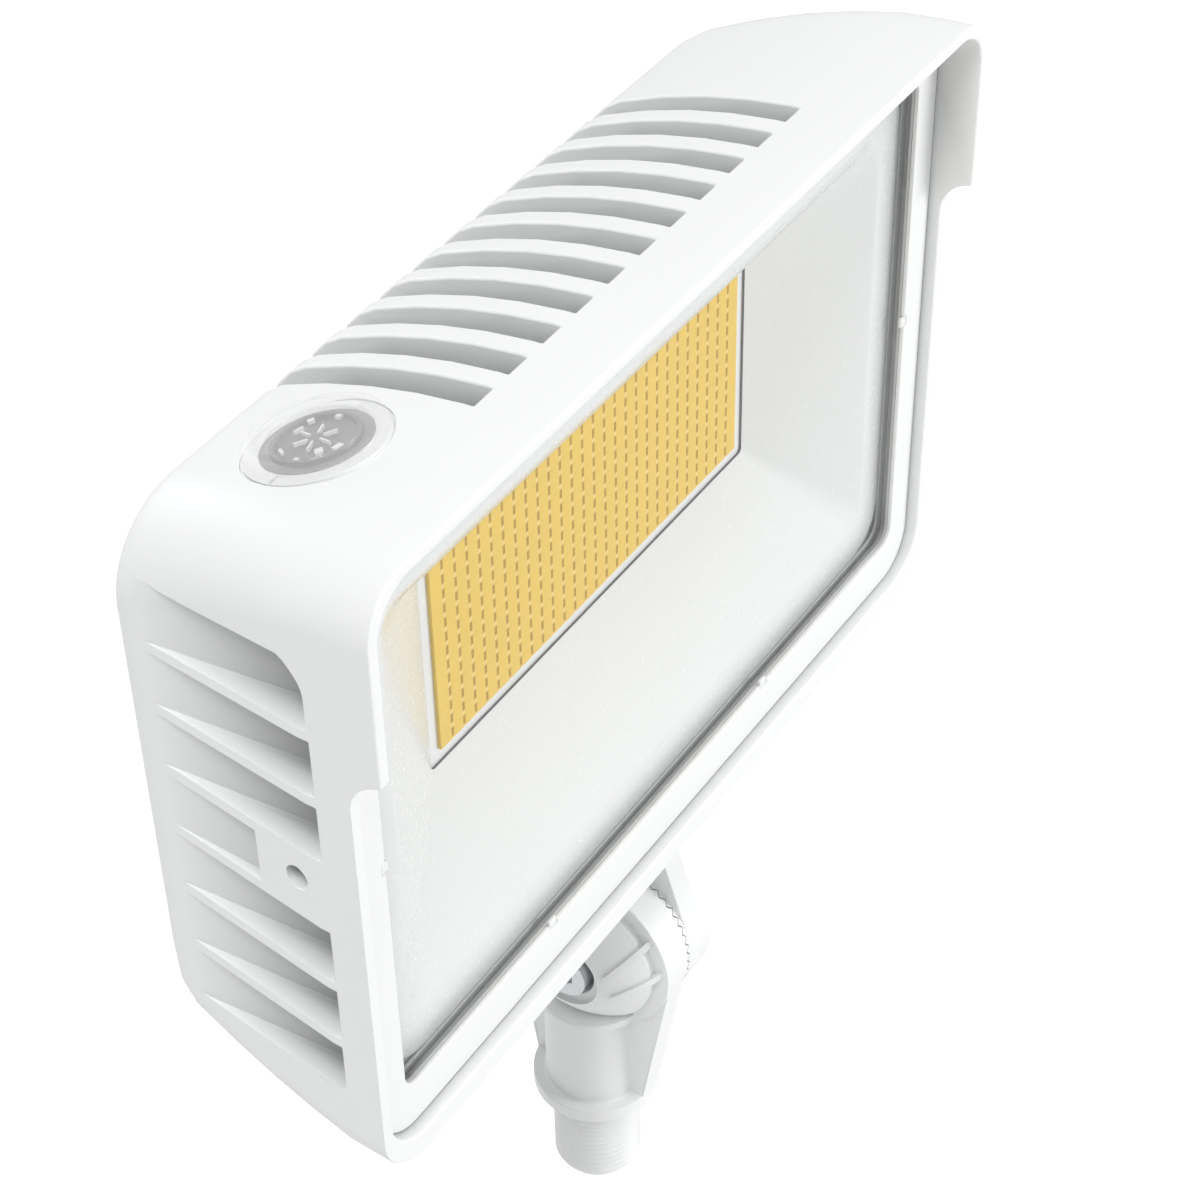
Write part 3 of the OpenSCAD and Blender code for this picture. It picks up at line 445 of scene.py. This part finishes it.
# The reflector window's bare cut edge, coloured dark as painted shade of the gap to the light board
def cut_edge_with_painted_shade():
    return finish("cut edge with painted gap shade", (0.15, 0.145, 0.17), 0.5, tone=0.1, patch=3 * MM, grain=0.2 * MM)


def clear_glass():
    return finish("clear tempered glass", (0.75, 0.8, 0.79), 0.035, tone=0.02, patch=60 * MM, grain=9 * MM,
                  depth=0.0002 * MM, spread=0.012, Alpha=0.05, IOR=1.5)


def clear_moulding():
    return finish("clear polycarbonate", (0.93, 0.94, 0.93), 0.05, tone=0.03, patch=5 * MM, grain=2 * MM,
                  depth=0.004 * MM, spread=0.02, Alpha=0.15, IOR=1.58)


# Meshes


def show(bm, name, body, materials, nodes=(), smooth=38, radius=0.0, segments=3):
    """Makes a piece of a finished bmesh, which rides on a body and stands for the given nodes."""
    mesh = bpy.data.meshes.new(name)
    bm.to_mesh(mesh)
    bm.free()
    for mat in materials:
        mesh.materials.append(mat)
    mesh.shade_smooth()
    piece = bpy.data.objects.new(name, mesh)
    bpy.context.scene.collection.objects.link(piece)
    if radius:
        soft = piece.modifiers.new("soft edges", "BEVEL")
        soft.limit_method = "WEIGHT"
        soft.offset_type = "OFFSET"
        soft.width = radius
        soft.segments = segments
        soft.use_clamp_overlap = False
    else:
        mesh.set_sharp_from_angle(angle=math.radians(smooth))
    even = piece.modifiers.new("even normals", "WEIGHTED_NORMAL")
    even.keep_sharp = True
    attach(piece, body)
    if nodes:
        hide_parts(*nodes)
    return piece


def dress(node, mat):
    """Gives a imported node, whose shape stays, its finish."""
    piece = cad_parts[node]
    if not piece.material_slots:
        piece.data.materials.append(None)
    for place in piece.material_slots:
        place.material = mat


def solid_copy(node):
    """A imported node's shape as one merged bmesh with whole flat faces."""
    bm = bmesh.new()
    bm.from_mesh(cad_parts[node].data)
    bmesh.ops.remove_doubles(bm, verts=bm.verts, dist=WELD)
    bmesh.ops.dissolve_limit(bm, angle_limit=FLAT, verts=bm.verts, edges=bm.edges)
    return bm


def sharp_edges(bm, angle=32):
    """Edges at which two faces meet at more than an angle."""
    return [e for e in bm.edges if len(e.link_faces) == 2 and e.calc_face_angle() > math.radians(angle)]


def free_width(edge, reach):
    """Room beside an edge, across the narrower of its two faces."""
    first, last = (v.co for v in edge.verts)
    along = (last - first).normalized()
    room = reach
    for loop in edge.link_loops:
        turn = (loop.link_loop_next.vert.co - loop.vert.co).normalized()
        inward = loop.face.normal.cross(turn)
        sides = [[v.co for v in e.verts] for e in loop.face.edges if e is not edge]
        for share in PROBES:
            start = first.lerp(last, share)
            for near, far in sides:
                before, after = (near - start).dot(along), (far - start).dot(along)
                if (before > 0) == (after > 0):
                    continue
                inner, outer = (near - start).dot(inward), (far - start).dot(inward)
                width = inner + (outer - inner) * before / (before - after)
                if 0.1 * NEAR < width < room:
                    room = width
    return room


def weigh_edges(bm, radius):
    """Gives each sharp edge a share of the radius that its faces have room for and that changes slowly."""
    weight = bm.edges.layers.float.new("bevel_weight_edge")
    reach = radius / ROOM_SHARE
    size = {edge: min(radius, ROOM_SHARE * free_width(edge, reach)) for edge in sharp_edges(bm)}
    tiny = 0.01 * NEAR
    steps = []
    for edge in size:
        for vert in edge.verts:
            away = (edge.other_vert(vert).co - vert.co).normalized()
            for other in vert.link_edges:
                if other is edge or other not in size:
                    continue
                ahead = (other.other_vert(vert).co - vert.co).normalized()
                bend = away.cross(ahead).length
                if away.dot(ahead) < FOLLOWS and bend > LEAST_BEND:
                    shorter = min(edge.calc_length(), other.calc_length())
                    steps.append((edge, other, STEP_SHARE * bend * shorter))
    for _ in range(EVENING_ROUNDS):
        wide = [(edge, size[other] + step) for edge, other, step in steps
                if size[edge] > size[other] + step + tiny]
        if not wide:
            break
        for edge, most in wide:
            size[edge] = min(size[edge], most)
    for edge, fitted in size.items():
        edge[weight] = max(LEAST_SHARE, fitted / radius)


def paint_shade_inwards(bm, depth, front):
    """Gives each vertex behind the front its share of a depth below the outer hull, as the painted shade
    attribute, which darkens the colour deeper in.
    """
    hull = bm.copy()
    made = bmesh.ops.convex_hull(hull, input=hull.verts)
    inner = {v for v in made["geom_interior"] + made["geom_unused"] if isinstance(v, bmesh.types.BMVert)}
    bmesh.ops.delete(hull, geom=list(inner), context="VERTS")
    skin = {f for f in made["geom"] if f.is_valid and isinstance(f, bmesh.types.BMFace)}
    bmesh.ops.delete(hull, geom=[f for f in hull.faces if f not in skin], context="FACES")
    tree = BVHTree.FromBMesh(hull)
    painted_shade = bm.verts.layers.float.new("painted_shade")
    for vert in bm.verts:
        if vert.co.y > front:
            vert[painted_shade] = min(1.0, tree.find_nearest(vert.co)[3] / depth)
    hull.free()


def rounded_node(node, name, body, mat, radius, segments=3):
    """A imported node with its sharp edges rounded, which replaces it."""
    bm = solid_copy(node)
    weigh_edges(bm, radius)
    return show(bm, name, body, [mat], [node], radius=radius, segments=segments)


def rounded_outline(bm, half_w, z0, z1, y, radius):
    """Loop of edges round a rectangle that faces along Y, with rounded corners."""
    corners = [bm.verts.new(place) for place in ((-half_w, y, z0), (half_w, y, z0), (half_w, y, z1),
                                                 (-half_w, y, z1))]
    face = bm.faces.new(corners)
    made = bmesh.ops.bevel(bm, geom=corners, offset=radius, offset_type="OFFSET", segments=8,
                           profile=0.5, affect="VERTICES", clamp_overlap=False, material=-1)
    face = next(f for f in bm.faces if len(f.verts) > 4 and all(v in f.verts for v in made["verts"]))
    loop = list(face.edges)
    bmesh.ops.delete(bm, geom=[face], context="FACES_ONLY")
    return loop


def lathe(bm, profile, place, steps):
    """Turns a profile of radii and heights round its axis, and puts it in place."""
    verts = [bm.verts.new((r, 0, h)) for r, h in profile]
    edges = [bm.edges.new(pair) for pair in zip(verts, verts[1:])]
    bmesh.ops.spin(bm, geom=verts + edges, cent=(0, 0, 0), axis=(0, 0, 1), angle=2 * math.pi, steps=steps,
                   use_merge=True)
    bmesh.ops.remove_doubles(bm, verts=bm.verts, dist=NEAR)
    bmesh.ops.recalc_face_normals(bm, faces=bm.faces)
    bmesh.ops.transform(bm, matrix=place, verts=bm.verts)


def tooth_ring(bm, side, teeth, height):
    """Adds a thin ring on a side of the knuckle's joint, whose end at the joint is cut in teeth."""
    before = set(bm.verts)
    start, tip = (JOINT_X + side * away for away in (RING_DEPTH, RING_GAP / 2))
    inner = RING_RADIUS - RING_WALL
    section = ((start, inner), (start, RING_RADIUS), (tip, RING_RADIUS), (tip, inner))
    verts = [bm.verts.new((x, 0, PIVOT_Z + r)) for x, r in section]
    edges = [bm.edges.new(pair) for pair in zip(verts, verts[1:] + verts[:1])]
    bmesh.ops.spin(bm, geom=verts + edges, cent=(0, 0, PIVOT_Z), axis=(1, 0, 0), angle=math.tau,
                   steps=2 * teeth, use_merge=True)
    ring = [vert for vert in bm.verts if vert not in before]
    for vert in ring:
        if abs(vert.co.x - tip) < NEAR:
            step = round(math.atan2(vert.co.y, vert.co.z - PIVOT_Z) * teeth / math.pi)
            vert.co.x += height / 2 if step % 2 else -height / 2
    faces = list({face for vert in ring for face in vert.link_faces})
    bmesh.ops.recalc_face_normals(bm, faces=faces)
    for edge in {edge for face in faces for edge in face.edges}:
        edge.smooth = edge.calc_face_angle() < math.radians(20)


def arc(radius, height, low, high, count):
    """Points of a profile on a ball about a height, from one radius to another."""
    return [(r, height + math.sqrt(radius * radius - r * r))
            for r in (low + (high - low) * i / count for i in range(count + 1))]


class FLOOD_LIGHT_OT_housing(Operator):
    """Makes the housing, with its cast edges rounded."""

    bl_idname = "flood_light.housing"
    bl_label = "Housing"
    bl_options = {"REGISTER", "UNDO"}

    def execute(self, context):
        settings = context.scene.flood_light
        own = settings.casting
        bm = solid_copy("housing")
        weigh_edges(bm, own.edge_radius)
        # Painted shade: the housing's colour darkens with depth below its hull, behind the rim
        paint_shade_inwards(bm, own.painted_shade_depth, RIM_Y + SHADE_FREE_DEPTH)
        show(bm, "housing_casting", HEAD, [housing_enamel_with_painted_shade(settings)], ["housing"],
             radius=own.edge_radius)
        return {"FINISHED"}


class FLOOD_LIGHT_OT_front(Operator):
    """Makes the front frame with its clips and screws."""

    bl_idname = "flood_light.front"
    bl_label = "Front frame"
    bl_options = {"REGISTER", "UNDO"}

    def execute(self, context):
        settings = context.scene.flood_light
        rounded_node("front_frame", "front_frame_casting", HEAD, enamel(settings),
                     settings.casting.frame_radius)
        rounded_node("retaining_clips", "retaining_clip_bars", HEAD, clip_plastic(), 0.3 * MM)
        rounded_node("frame_screws", "frame_screw_set", HEAD, steel(), 0.2 * MM, 2)
        return {"FINISHED"}


class FLOOD_LIGHT_OT_lens(Operator):
    """Makes the glass and its rubber seal."""

    bl_idname = "flood_light.lens"
    bl_label = "Lens"
    bl_options = {"REGISTER", "UNDO"}

    def execute(self, context):
        rounded_node("lens", "lens_glass_plate", HEAD, clear_glass(), 0.3 * MM)
        rounded_node("lens_gasket", "lens_seal", HEAD, lens_silicone(), 0.15 * MM, 2)
        return {"FINISHED"}


class FLOOD_LIGHT_OT_reflector(Operator):
    """Makes the pressed reflector with its window and its wide flat lip."""

    bl_idname = "flood_light.reflector"
    bl_label = "Reflector"
    bl_options = {"REGISTER", "UNDO"}

    def execute(self, context):
        settings = context.scene.flood_light
        own = settings.reflector
        front, window_y = (corner.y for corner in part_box("reflector"))
        field_low, field_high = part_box("led_array")
        window = (field_high.x + own.border, field_low.z - own.border, field_high.z + own.border)
        cut_depth = 0.35 * MM
        crest = (LIP_EDGE[0] - own.lip_side, LIP_EDGE[1] + own.lip_level, LIP_EDGE[2] - own.lip_level)
        bm = bmesh.new()
        painted_shade = bm.verts.layers.float.new("painted_shade")
        loops = [rounded_outline(bm, *window, window_y + cut_depth, own.window_radius),
                 rounded_outline(bm, *window, window_y, own.window_radius)]
        fall = (window_y - front) / (crest[0] - window[0])
        for share, tone in LIP_STEPS:
            side, level = share * own.lip_side, share * own.lip_level
            back = fall / 2 * (math.hypot(side, own.crest) - side)
            loop = rounded_outline(bm, crest[0] + side, crest[1] - level, crest[2] + level,
                                   front + back, own.corner_radius + side / 2)
            # Painted shade on the lip, by the step's share
            for vert in {v for edge in loop for v in edge.verts}:
                vert[painted_shade] = tone
            loops.append(loop)
        # The first band, round the window, is the cut edge with its painted shade; the others are enamel
        for index, pair in enumerate(zip(loops, loops[1:])):
            made = bmesh.ops.bridge_loops(bm, edges=pair[0] + pair[1])
            for face in made["faces"]:
                face.material_index = 1 if index == 0 else 0
        bmesh.ops.recalc_face_normals(bm, faces=bm.faces)
        if next(f for f in bm.faces if f.material_index == 0).normal.y > 0:
            bmesh.ops.reverse_faces(bm, faces=bm.faces)
        bmesh.ops.solidify(bm, geom=bm.faces, thickness=own.thickness)
        show(bm, "reflector_pan", HEAD, [reflector_paint(settings), cut_edge_with_painted_shade()],
             ["reflector"])
        return {"FINISHED"}


class FLOOD_LIGHT_OT_board(Operator):
    """Makes the emitter field and dresses the board, its screws and its pad."""

    bl_idname = "flood_light.board"
    bl_label = "Light board"
    bl_options = {"REGISTER", "UNDO"}

    def execute(self, context):
        own = context.scene.flood_light.board
        low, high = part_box("led_array")
        pitch_x = (high.x - low.x) / own.columns
        pitch_z = (high.z - low.z) / own.rows
        bm = bmesh.new()
        bmesh.ops.create_cube(bm, size=1.0)
        bmesh.ops.scale(bm, vec=high - low, verts=bm.verts)
        bmesh.ops.translate(bm, vec=(low + high) / 2, verts=bm.verts)
        lines = [((low.x + i * pitch_x + s * own.groove / 2, 0, 0), (1, 0, 0))
                 for i in range(1, own.columns) for s in (-1, 1)]
        lines += [((0, 0, low.z + j * pitch_z + s * own.bridge / 2), (0, 0, 1))
                  for j in range(own.rows + 1) for s in (-1, 1)]
        for point, normal in lines:
            bmesh.ops.bisect_plane(bm, geom=bm.verts[:] + bm.edges[:] + bm.faces[:], plane_co=point,
                                   plane_no=normal, dist=NEAR)
        cells, grooves, bridges = [], [], []
        for face in bm.faces:
            if face.normal.y > -0.5:
                continue
            middle = face.calc_center_median()
            along = (middle.x - low.x) / pitch_x % 1
            up = (middle.z - low.z) / pitch_z % 1
            in_row = EDGE_SHARE < up < 1 - EDGE_SHARE
            in_column = EDGE_SHARE < along < 1 - EDGE_SHARE
            if in_row and in_column:
                cells.append(face)
            elif low.x + pitch_x / 2 < middle.x < high.x - pitch_x / 2 and not in_column:
                (grooves if in_row else bridges).append(face)
        walls = bmesh.ops.inset_individual(bm, faces=grooves, thickness=own.sink, depth=-own.sink)["faces"]
        for face in grooves + walls:
            face.material_index = 1
        for face in bridges:
            face.material_index = 2
        bmesh.ops.inset_individual(bm, faces=cells, thickness=own.slope, depth=own.rise)
        phosphor = finish("yellow phosphor silicone", own.phosphor, 0.34, tone=0.05, patch=9 * MM,
                          grain=0.5 * MM, depth=0.012 * MM)
        groove = finish("phosphor groove", own.groove_colour, 0.6, tone=0.2, patch=2 * MM, grain=0.3 * MM)
        bridge = finish("phosphor bridge", own.bridge_colour, 0.4, tone=0.08, patch=2 * MM, grain=0.3 * MM)
        show(bm, "emitter_field", HEAD, [phosphor, groove, bridge], ["led_array"],
             smooth=20)
        dress("led_board", board_mask())
        dress("board_screws", steel())
        dress("thermal_pad", soft_pad())
        return {"FINISHED"}


class FLOOD_LIGHT_OT_wiring(Operator):
    """Dresses the driver, the wires and the earth screw."""

    bl_idname = "flood_light.wiring"
    bl_label = "Driver and wires"
    bl_options = {"REGISTER", "UNDO"}

    def execute(self, context):
        rounded_node("driver", "driver_case", HEAD, folded_sheet(), 0.4 * MM)
        dress("driver_screws", steel())
        dress("led_leads", wire_cover("red wire cover", (0.42, 0.015, 0.015)))
        dress("sensor_leads", wire_cover("grey wire cover", (0.055, 0.055, 0.06)))
        dress("earth_screw", finish("green dyed steel", (0.05, 0.24, 0.1), 0.35, tone=0.08, patch=2 * MM,
                                    grain=0.3 * MM, Metallic=0.7))
        return {"FINISHED"}


class FLOOD_LIGHT_OT_sensor(Operator):
    """Makes the sensor's clear cap and its dark cell, and dresses its neck and nut."""

    bl_idname = "flood_light.sensor"
    bl_label = "Sensor"
    bl_options = {"REGISTER", "UNDO"}

    def execute(self, context):
        own = context.scene.flood_light.sensor
        low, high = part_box("sensor_cap")
        seat = Vector(((low.x + high.x) / 2, RIM_Y + SENSOR_DEPTH, SENSOR_HEIGHT))
        place = Matrix.Translation(seat) @ Matrix.Rotation(-SENSOR_LEAN, 4, "X")
        scale = place @ Matrix.Scale(MM, 4)

        dome = arc(21, -15.4, 0.0, 10.4, 10)
        flange = [(10.7, 2.45), (11.6, 2.4), (12.4, 2.3), (13.0, 1.95), (13.3, 1.4), (13.3, -0.1),
                  (10.6, -0.1), (10.6, 1.1), (9.2, 1.1)]
        hollow = arc(19.8, -15.9, 9.0, 0.0, 8)
        bm = bmesh.new()
        lathe(bm, dome + flange + hollow, scale, steps=72)
        show(bm, "sensor_clear_cap", HEAD, [clear_moulding()], ["sensor_cap"], smooth=30)

        dark = finish("dark sensor moulding", own.cell_colour, 0.4, tone=0.1, patch=3 * MM, grain=0.3 * MM)
        # Pale moulding of the ribs, also on the pads that are painted highlights
        pale = finish("pale sensor moulding", (0.86, 0.86, 0.85), 0.2, tone=0.05, patch=3 * MM,
                      grain=0.3 * MM)
        dish = [(0, 0.75), (1.5, 0.7), (1.9, 0.35), (7.2, 0.35), (7.5, 0.95), (8.3, 0.95), (8.45, 0.1),
                (0, 0.1)]
        bm = bmesh.new()
        lathe(bm, dish, Matrix.Identity(4), steps=48)
        level, rib_height, highlight_height = 0.6, 0.9, 0.75
        rib_reach, rib_length = 2.7, 2.6
        ribs = [(math.tau * (index + 0.3) / own.spokes, rib_reach,
                 (rib_length, own.spoke_width / MM, rib_height)) for index in range(own.spokes)]
        # Pale pads as painted highlights of the clear cap
        ribs += [(math.radians(turn), reach, (length, width, highlight_height))
                 for turn, reach, length, width in CELL_PAINTED_HIGHLIGHTS]
        for turn, reach, size in ribs:
            made = bmesh.ops.create_cube(bm, size=1.0)["verts"]
            bmesh.ops.scale(bm, vec=size, verts=made)
            bmesh.ops.translate(bm, vec=(reach, 0, level), verts=made)
            bmesh.ops.rotate(bm, matrix=Matrix.Rotation(turn, 3, "Z"), cent=(0, 0, 0), verts=made)
            for face in {f for v in made for f in v.link_faces}:
                face.material_index = 1
        bmesh.ops.transform(bm, matrix=scale, verts=bm.verts)
        show(bm, "sensor_dark_cell", HEAD, [dark, pale], ["sensor_cell"], smooth=30)

        grey = finish("grey sensor moulding", (0.3, 0.302, 0.298), 0.45, tone=0.05, patch=5 * MM,
                      grain=0.4 * MM)
        rounded_node("sensor_nut", "sensor_hex_nut", HEAD, grey, 0.3 * MM)
        dress("sensor_body", grey)
        dress("sensor_gasket", pale_silicone())
        return {"FINISHED"}


class FLOOD_LIGHT_OT_knuckle(Operator):
    """Makes the two halves of the knuckle and the stem's thread."""

    bl_idname = "flood_light.knuckle"
    bl_label = "Knuckle"
    bl_options = {"REGISTER", "UNDO"}

    def execute(self, context):
        settings = context.scene.flood_light
        paint = enamel(settings)
        self.casting(settings, "knuckle_head", "knuckle_head_casting", HEAD, paint)
        self.casting(settings, "knuckle_stem", "knuckle_stem_casting", STEM, paint)
        self.thread(settings, paint)
        return {"FINISHED"}

    def casting(self, settings, node, name, body, paint):
        own = settings.casting
        radius = own.knuckle_radius
        side = -1 if body == STEM else 1
        bm = solid_copy(node)
        if body == STEM:
            self.slim(settings, bm)
        weigh_edges(bm, radius)
        tooth_ring(bm, side, own.teeth, own.tooth_height)
        show(bm, name, body, [paint], [node], radius=radius, segments=4)

    def slim(self, settings, bm):
        """Takes the stem's pin down to the root of its thread."""
        for vert in bm.verts:
            radius = math.hypot(vert.co.x, vert.co.y)
            if vert.co.z < NEAR and PIN_SKIN[0] < radius < PIN_SKIN[1]:
                root = radius - settings.thread.depth
                vert.co.x *= root / radius
                vert.co.y *= root / radius

    def thread(self, settings, paint):
        """Winds the thread's ridge round the pin, with its foot sunk into it and a flat crest."""
        own = settings.thread
        bottom, top = THREAD_ENDS
        foot_sink, crest_drop = 0.05 * MM, 0.04 * MM
        root = THREAD_RADIUS - own.depth - foot_sink
        crest = THREAD_RADIUS - crest_drop
        foot_half, crest_half = 0.47 * own.pitch, 0.1 * MM
        outline = ((root, -foot_half), (crest, -crest_half), (crest, crest_half), (root, foot_half))
        steps = int(own.steps * (top - bottom) / own.pitch)
        bm = bmesh.new()
        face = bm.faces.new([bm.verts.new((r, 0, bottom + h)) for r, h in outline])
        bmesh.ops.spin(bm, geom=[face], cent=(0, 0, 0), axis=(0, 0, 1), dvec=(0, 0, own.pitch / own.steps),
                       angle=math.tau * steps / own.steps, steps=steps, use_merge=False)
        bmesh.ops.recalc_face_normals(bm, faces=bm.faces)
        show(bm, "stem_thread_ridges", STEM, [paint], smooth=30)


class FLOOD_LIGHT_OT_fixings(Operator):
    """Makes the knuckle's bolt, nut, washer and seals."""

    bl_idname = "flood_light.fixings"
    bl_label = "Fixings"
    bl_options = {"REGISTER", "UNDO"}

    def execute(self, context):
        rounded_node("knuckle_bolt", "clamp_bolt", STEM, steel(), 0.35 * MM)
        rounded_node("bolt_washer", "clamp_washer", STEM, steel(), 0.25 * MM, 2)
        rounded_node("knuckle_nut", "clamp_nut", HEAD, steel(), 0.35 * MM)
        rounded_node("knuckle_ring", "knuckle_seal", STEM, rubber(), 0.2 * MM, 2)
        rounded_node("bracket_gasket", "bracket_seal", HEAD, rubber(), 0.25 * MM, 2)
        dress("bracket_screws", steel())
        dress("wire_bush", rubber())
        return {"FINISHED"}


class FLOOD_LIGHT_OT_stage(Operator):
    """Makes the floor, the surround, the lamps and the camera."""

    bl_idname = "flood_light.stage"
    bl_label = "Stage"
    bl_options = {"REGISTER", "UNDO"}

    def execute(self, context):
        scene = context.scene
        own = scene.flood_light.stage
        scene.view_settings.view_transform = "Standard"
        self.floor(own)
        self.surround(own, scene)
        self.camera(own, scene)
        for name, side, size, level in LAMPS:
            self.lamp(name, Vector(side).normalized() * own.lamp_distance, size, level)
        return {"FINISHED"}

    def floor(self, own):
        bm = bmesh.new()
        bmesh.ops.create_circle(bm, cap_ends=True, segments=96, radius=FLOOR_RADIUS)
        bmesh.ops.translate(bm, vec=(0, 0, CAD_BOX[0].z - own.floor_drop), verts=bm.verts)
        mesh = bpy.data.meshes.new("floor")
        bm.to_mesh(mesh)
        bm.free()
        piece = bpy.data.objects.new("floor", mesh)
        bpy.context.scene.collection.objects.link(piece)
        mat = finish("pale floor", (0.86, 0.86, 0.86), 0.8, tone=0.004, patch=0.3, grain=0.02, depth=0.0)
        tree = mat.node_tree
        seen = tree.nodes.new("ShaderNodeLightPath")
        glow = tree.nodes.new("ShaderNodeEmission")
        level = tree.nodes.new("ShaderNodeMath")
        level.operation = "MULTIPLY"
        level.inputs[1].default_value = own.floor_glow
        both = tree.nodes.new("ShaderNodeAddShader")
        out = tree.nodes["Material Output"]
        tree.links.new(seen.outputs["Is Camera Ray"], level.inputs[0])
        tree.links.new(level.outputs["Value"], glow.inputs["Strength"])
        tree.links.new(tree.nodes["Principled BSDF"].outputs["BSDF"], both.inputs[0])
        tree.links.new(glow.outputs["Emission"], both.inputs[1])
        tree.links.new(both.outputs["Shader"], out.inputs["Surface"])
        mesh.materials.append(mat)

    def surround(self, own, scene):
        world = bpy.data.worlds.new("studio surround")
        scene.world = world
        world.use_nodes = True
        tree = world.node_tree
        even = tree.nodes["Background"]
        even.inputs["Color"].default_value = (0.985, 0.99, 1.0, 1.0)
        even.inputs["Strength"].default_value = own.surround
        white = tree.nodes.new("ShaderNodeBackground")
        white.inputs["Color"].default_value = (1.0, 1.0, 1.0, 1.0)
        white.inputs["Strength"].default_value = 1.0
        seen = tree.nodes.new("ShaderNodeLightPath")
        share = seen.outputs["Is Camera Ray"]
        for ray in ("Is Glossy Ray", "Is Transmission Ray"):
            either = tree.nodes.new("ShaderNodeMath")
            either.operation = "MAXIMUM"
            tree.links.new(share, either.inputs[0])
            tree.links.new(seen.outputs[ray], either.inputs[1])
            share = either.outputs["Value"]
        mix = tree.nodes.new("ShaderNodeMixShader")
        tree.links.new(share, mix.inputs["Fac"])
        tree.links.new(even.outputs["Background"], mix.inputs[1])
        tree.links.new(white.outputs["Background"], mix.inputs[2])
        tree.links.new(mix.outputs["Shader"], tree.nodes["World Output"].inputs["Surface"])

    def lamp(self, name, back, size, level):
        """Square lamp that lights a surface facing it at a level, where 1 shows a colour as written."""
        data = bpy.data.lights.new(name, "AREA")
        data.size = size
        data.energy = level * math.pi ** 2 * back.length_squared
        lamp = bpy.data.objects.new(name, data)
        lamp.location = (CAD_BOX[0] + CAD_BOX[1]) / 2 + back
        lamp.rotation_euler = back.to_track_quat("Z", "Y").to_euler()
        bpy.context.scene.collection.objects.link(lamp)

    def camera(self, own, scene):
        az, el = own.azimuth, own.elevation
        back = Vector((math.sin(az) * math.cos(el), -math.cos(az) * math.cos(el), math.sin(el)))
        right = Vector((math.cos(az), math.sin(az), 0))
        up = back.cross(right)
        turned_right = right * math.cos(own.roll) + up * math.sin(own.roll)
        turned_up = up * math.cos(own.roll) - right * math.sin(own.roll)
        data = bpy.data.cameras.new("photo camera")
        data.lens = own.lens
        data.sensor_width = 36.0
        data.clip_start = 0.01
        data.clip_end = 50.0
        camera = bpy.data.objects.new("photo camera", data)
        turn = Matrix((turned_right, turned_up, back)).transposed()
        camera.matrix_world = Matrix.Translation(Vector(own.target) + back * own.distance) @ turn.to_4x4()
        scene.collection.objects.link(camera)
        scene.camera = camera


STEPS = (
    FLOOD_LIGHT_OT_stage, FLOOD_LIGHT_OT_housing, FLOOD_LIGHT_OT_front, FLOOD_LIGHT_OT_lens,
    FLOOD_LIGHT_OT_reflector, FLOOD_LIGHT_OT_board, FLOOD_LIGHT_OT_wiring, FLOOD_LIGHT_OT_sensor,
    FLOOD_LIGHT_OT_knuckle, FLOOD_LIGHT_OT_fixings,
)


class FLOOD_LIGHT_PT_panel(Panel):
    """Sidebar panel with the flood light's steps and settings."""

    bl_idname = "FLOOD_LIGHT_PT_panel"
    bl_label = "Flood light"
    bl_space_type = "VIEW_3D"
    bl_region_type = "UI"
    bl_category = "Flood light"

    def draw(self, context):
        settings = context.scene.flood_light
        for step in STEPS:
            self.layout.operator(step.bl_idname)
        for group in ("casting", "thread", "reflector", "board", "sensor", "stage"):
            box = self.layout.box()
            own = getattr(settings, group)
            for name in own.__annotations__:
                box.prop(own, name)


CLASSES = (
    CastingSettings, ThreadSettings, ReflectorSettings, BoardSettings, SensorSettings, StageSettings,
    FloodLightSettings, *STEPS, FLOOD_LIGHT_PT_panel,
)


def register():
    for item in CLASSES:
        bpy.utils.register_class(item)
    bpy.types.Scene.flood_light = PointerProperty(type=FloodLightSettings)


def unregister():
    del bpy.types.Scene.flood_light
    for item in reversed(CLASSES):
        bpy.utils.unregister_class(item)


def main():
    register()
    for step in STEPS:
        getattr(bpy.ops.flood_light, step.bl_idname.split(".")[1])()


if __name__ == "__main__":
    main()
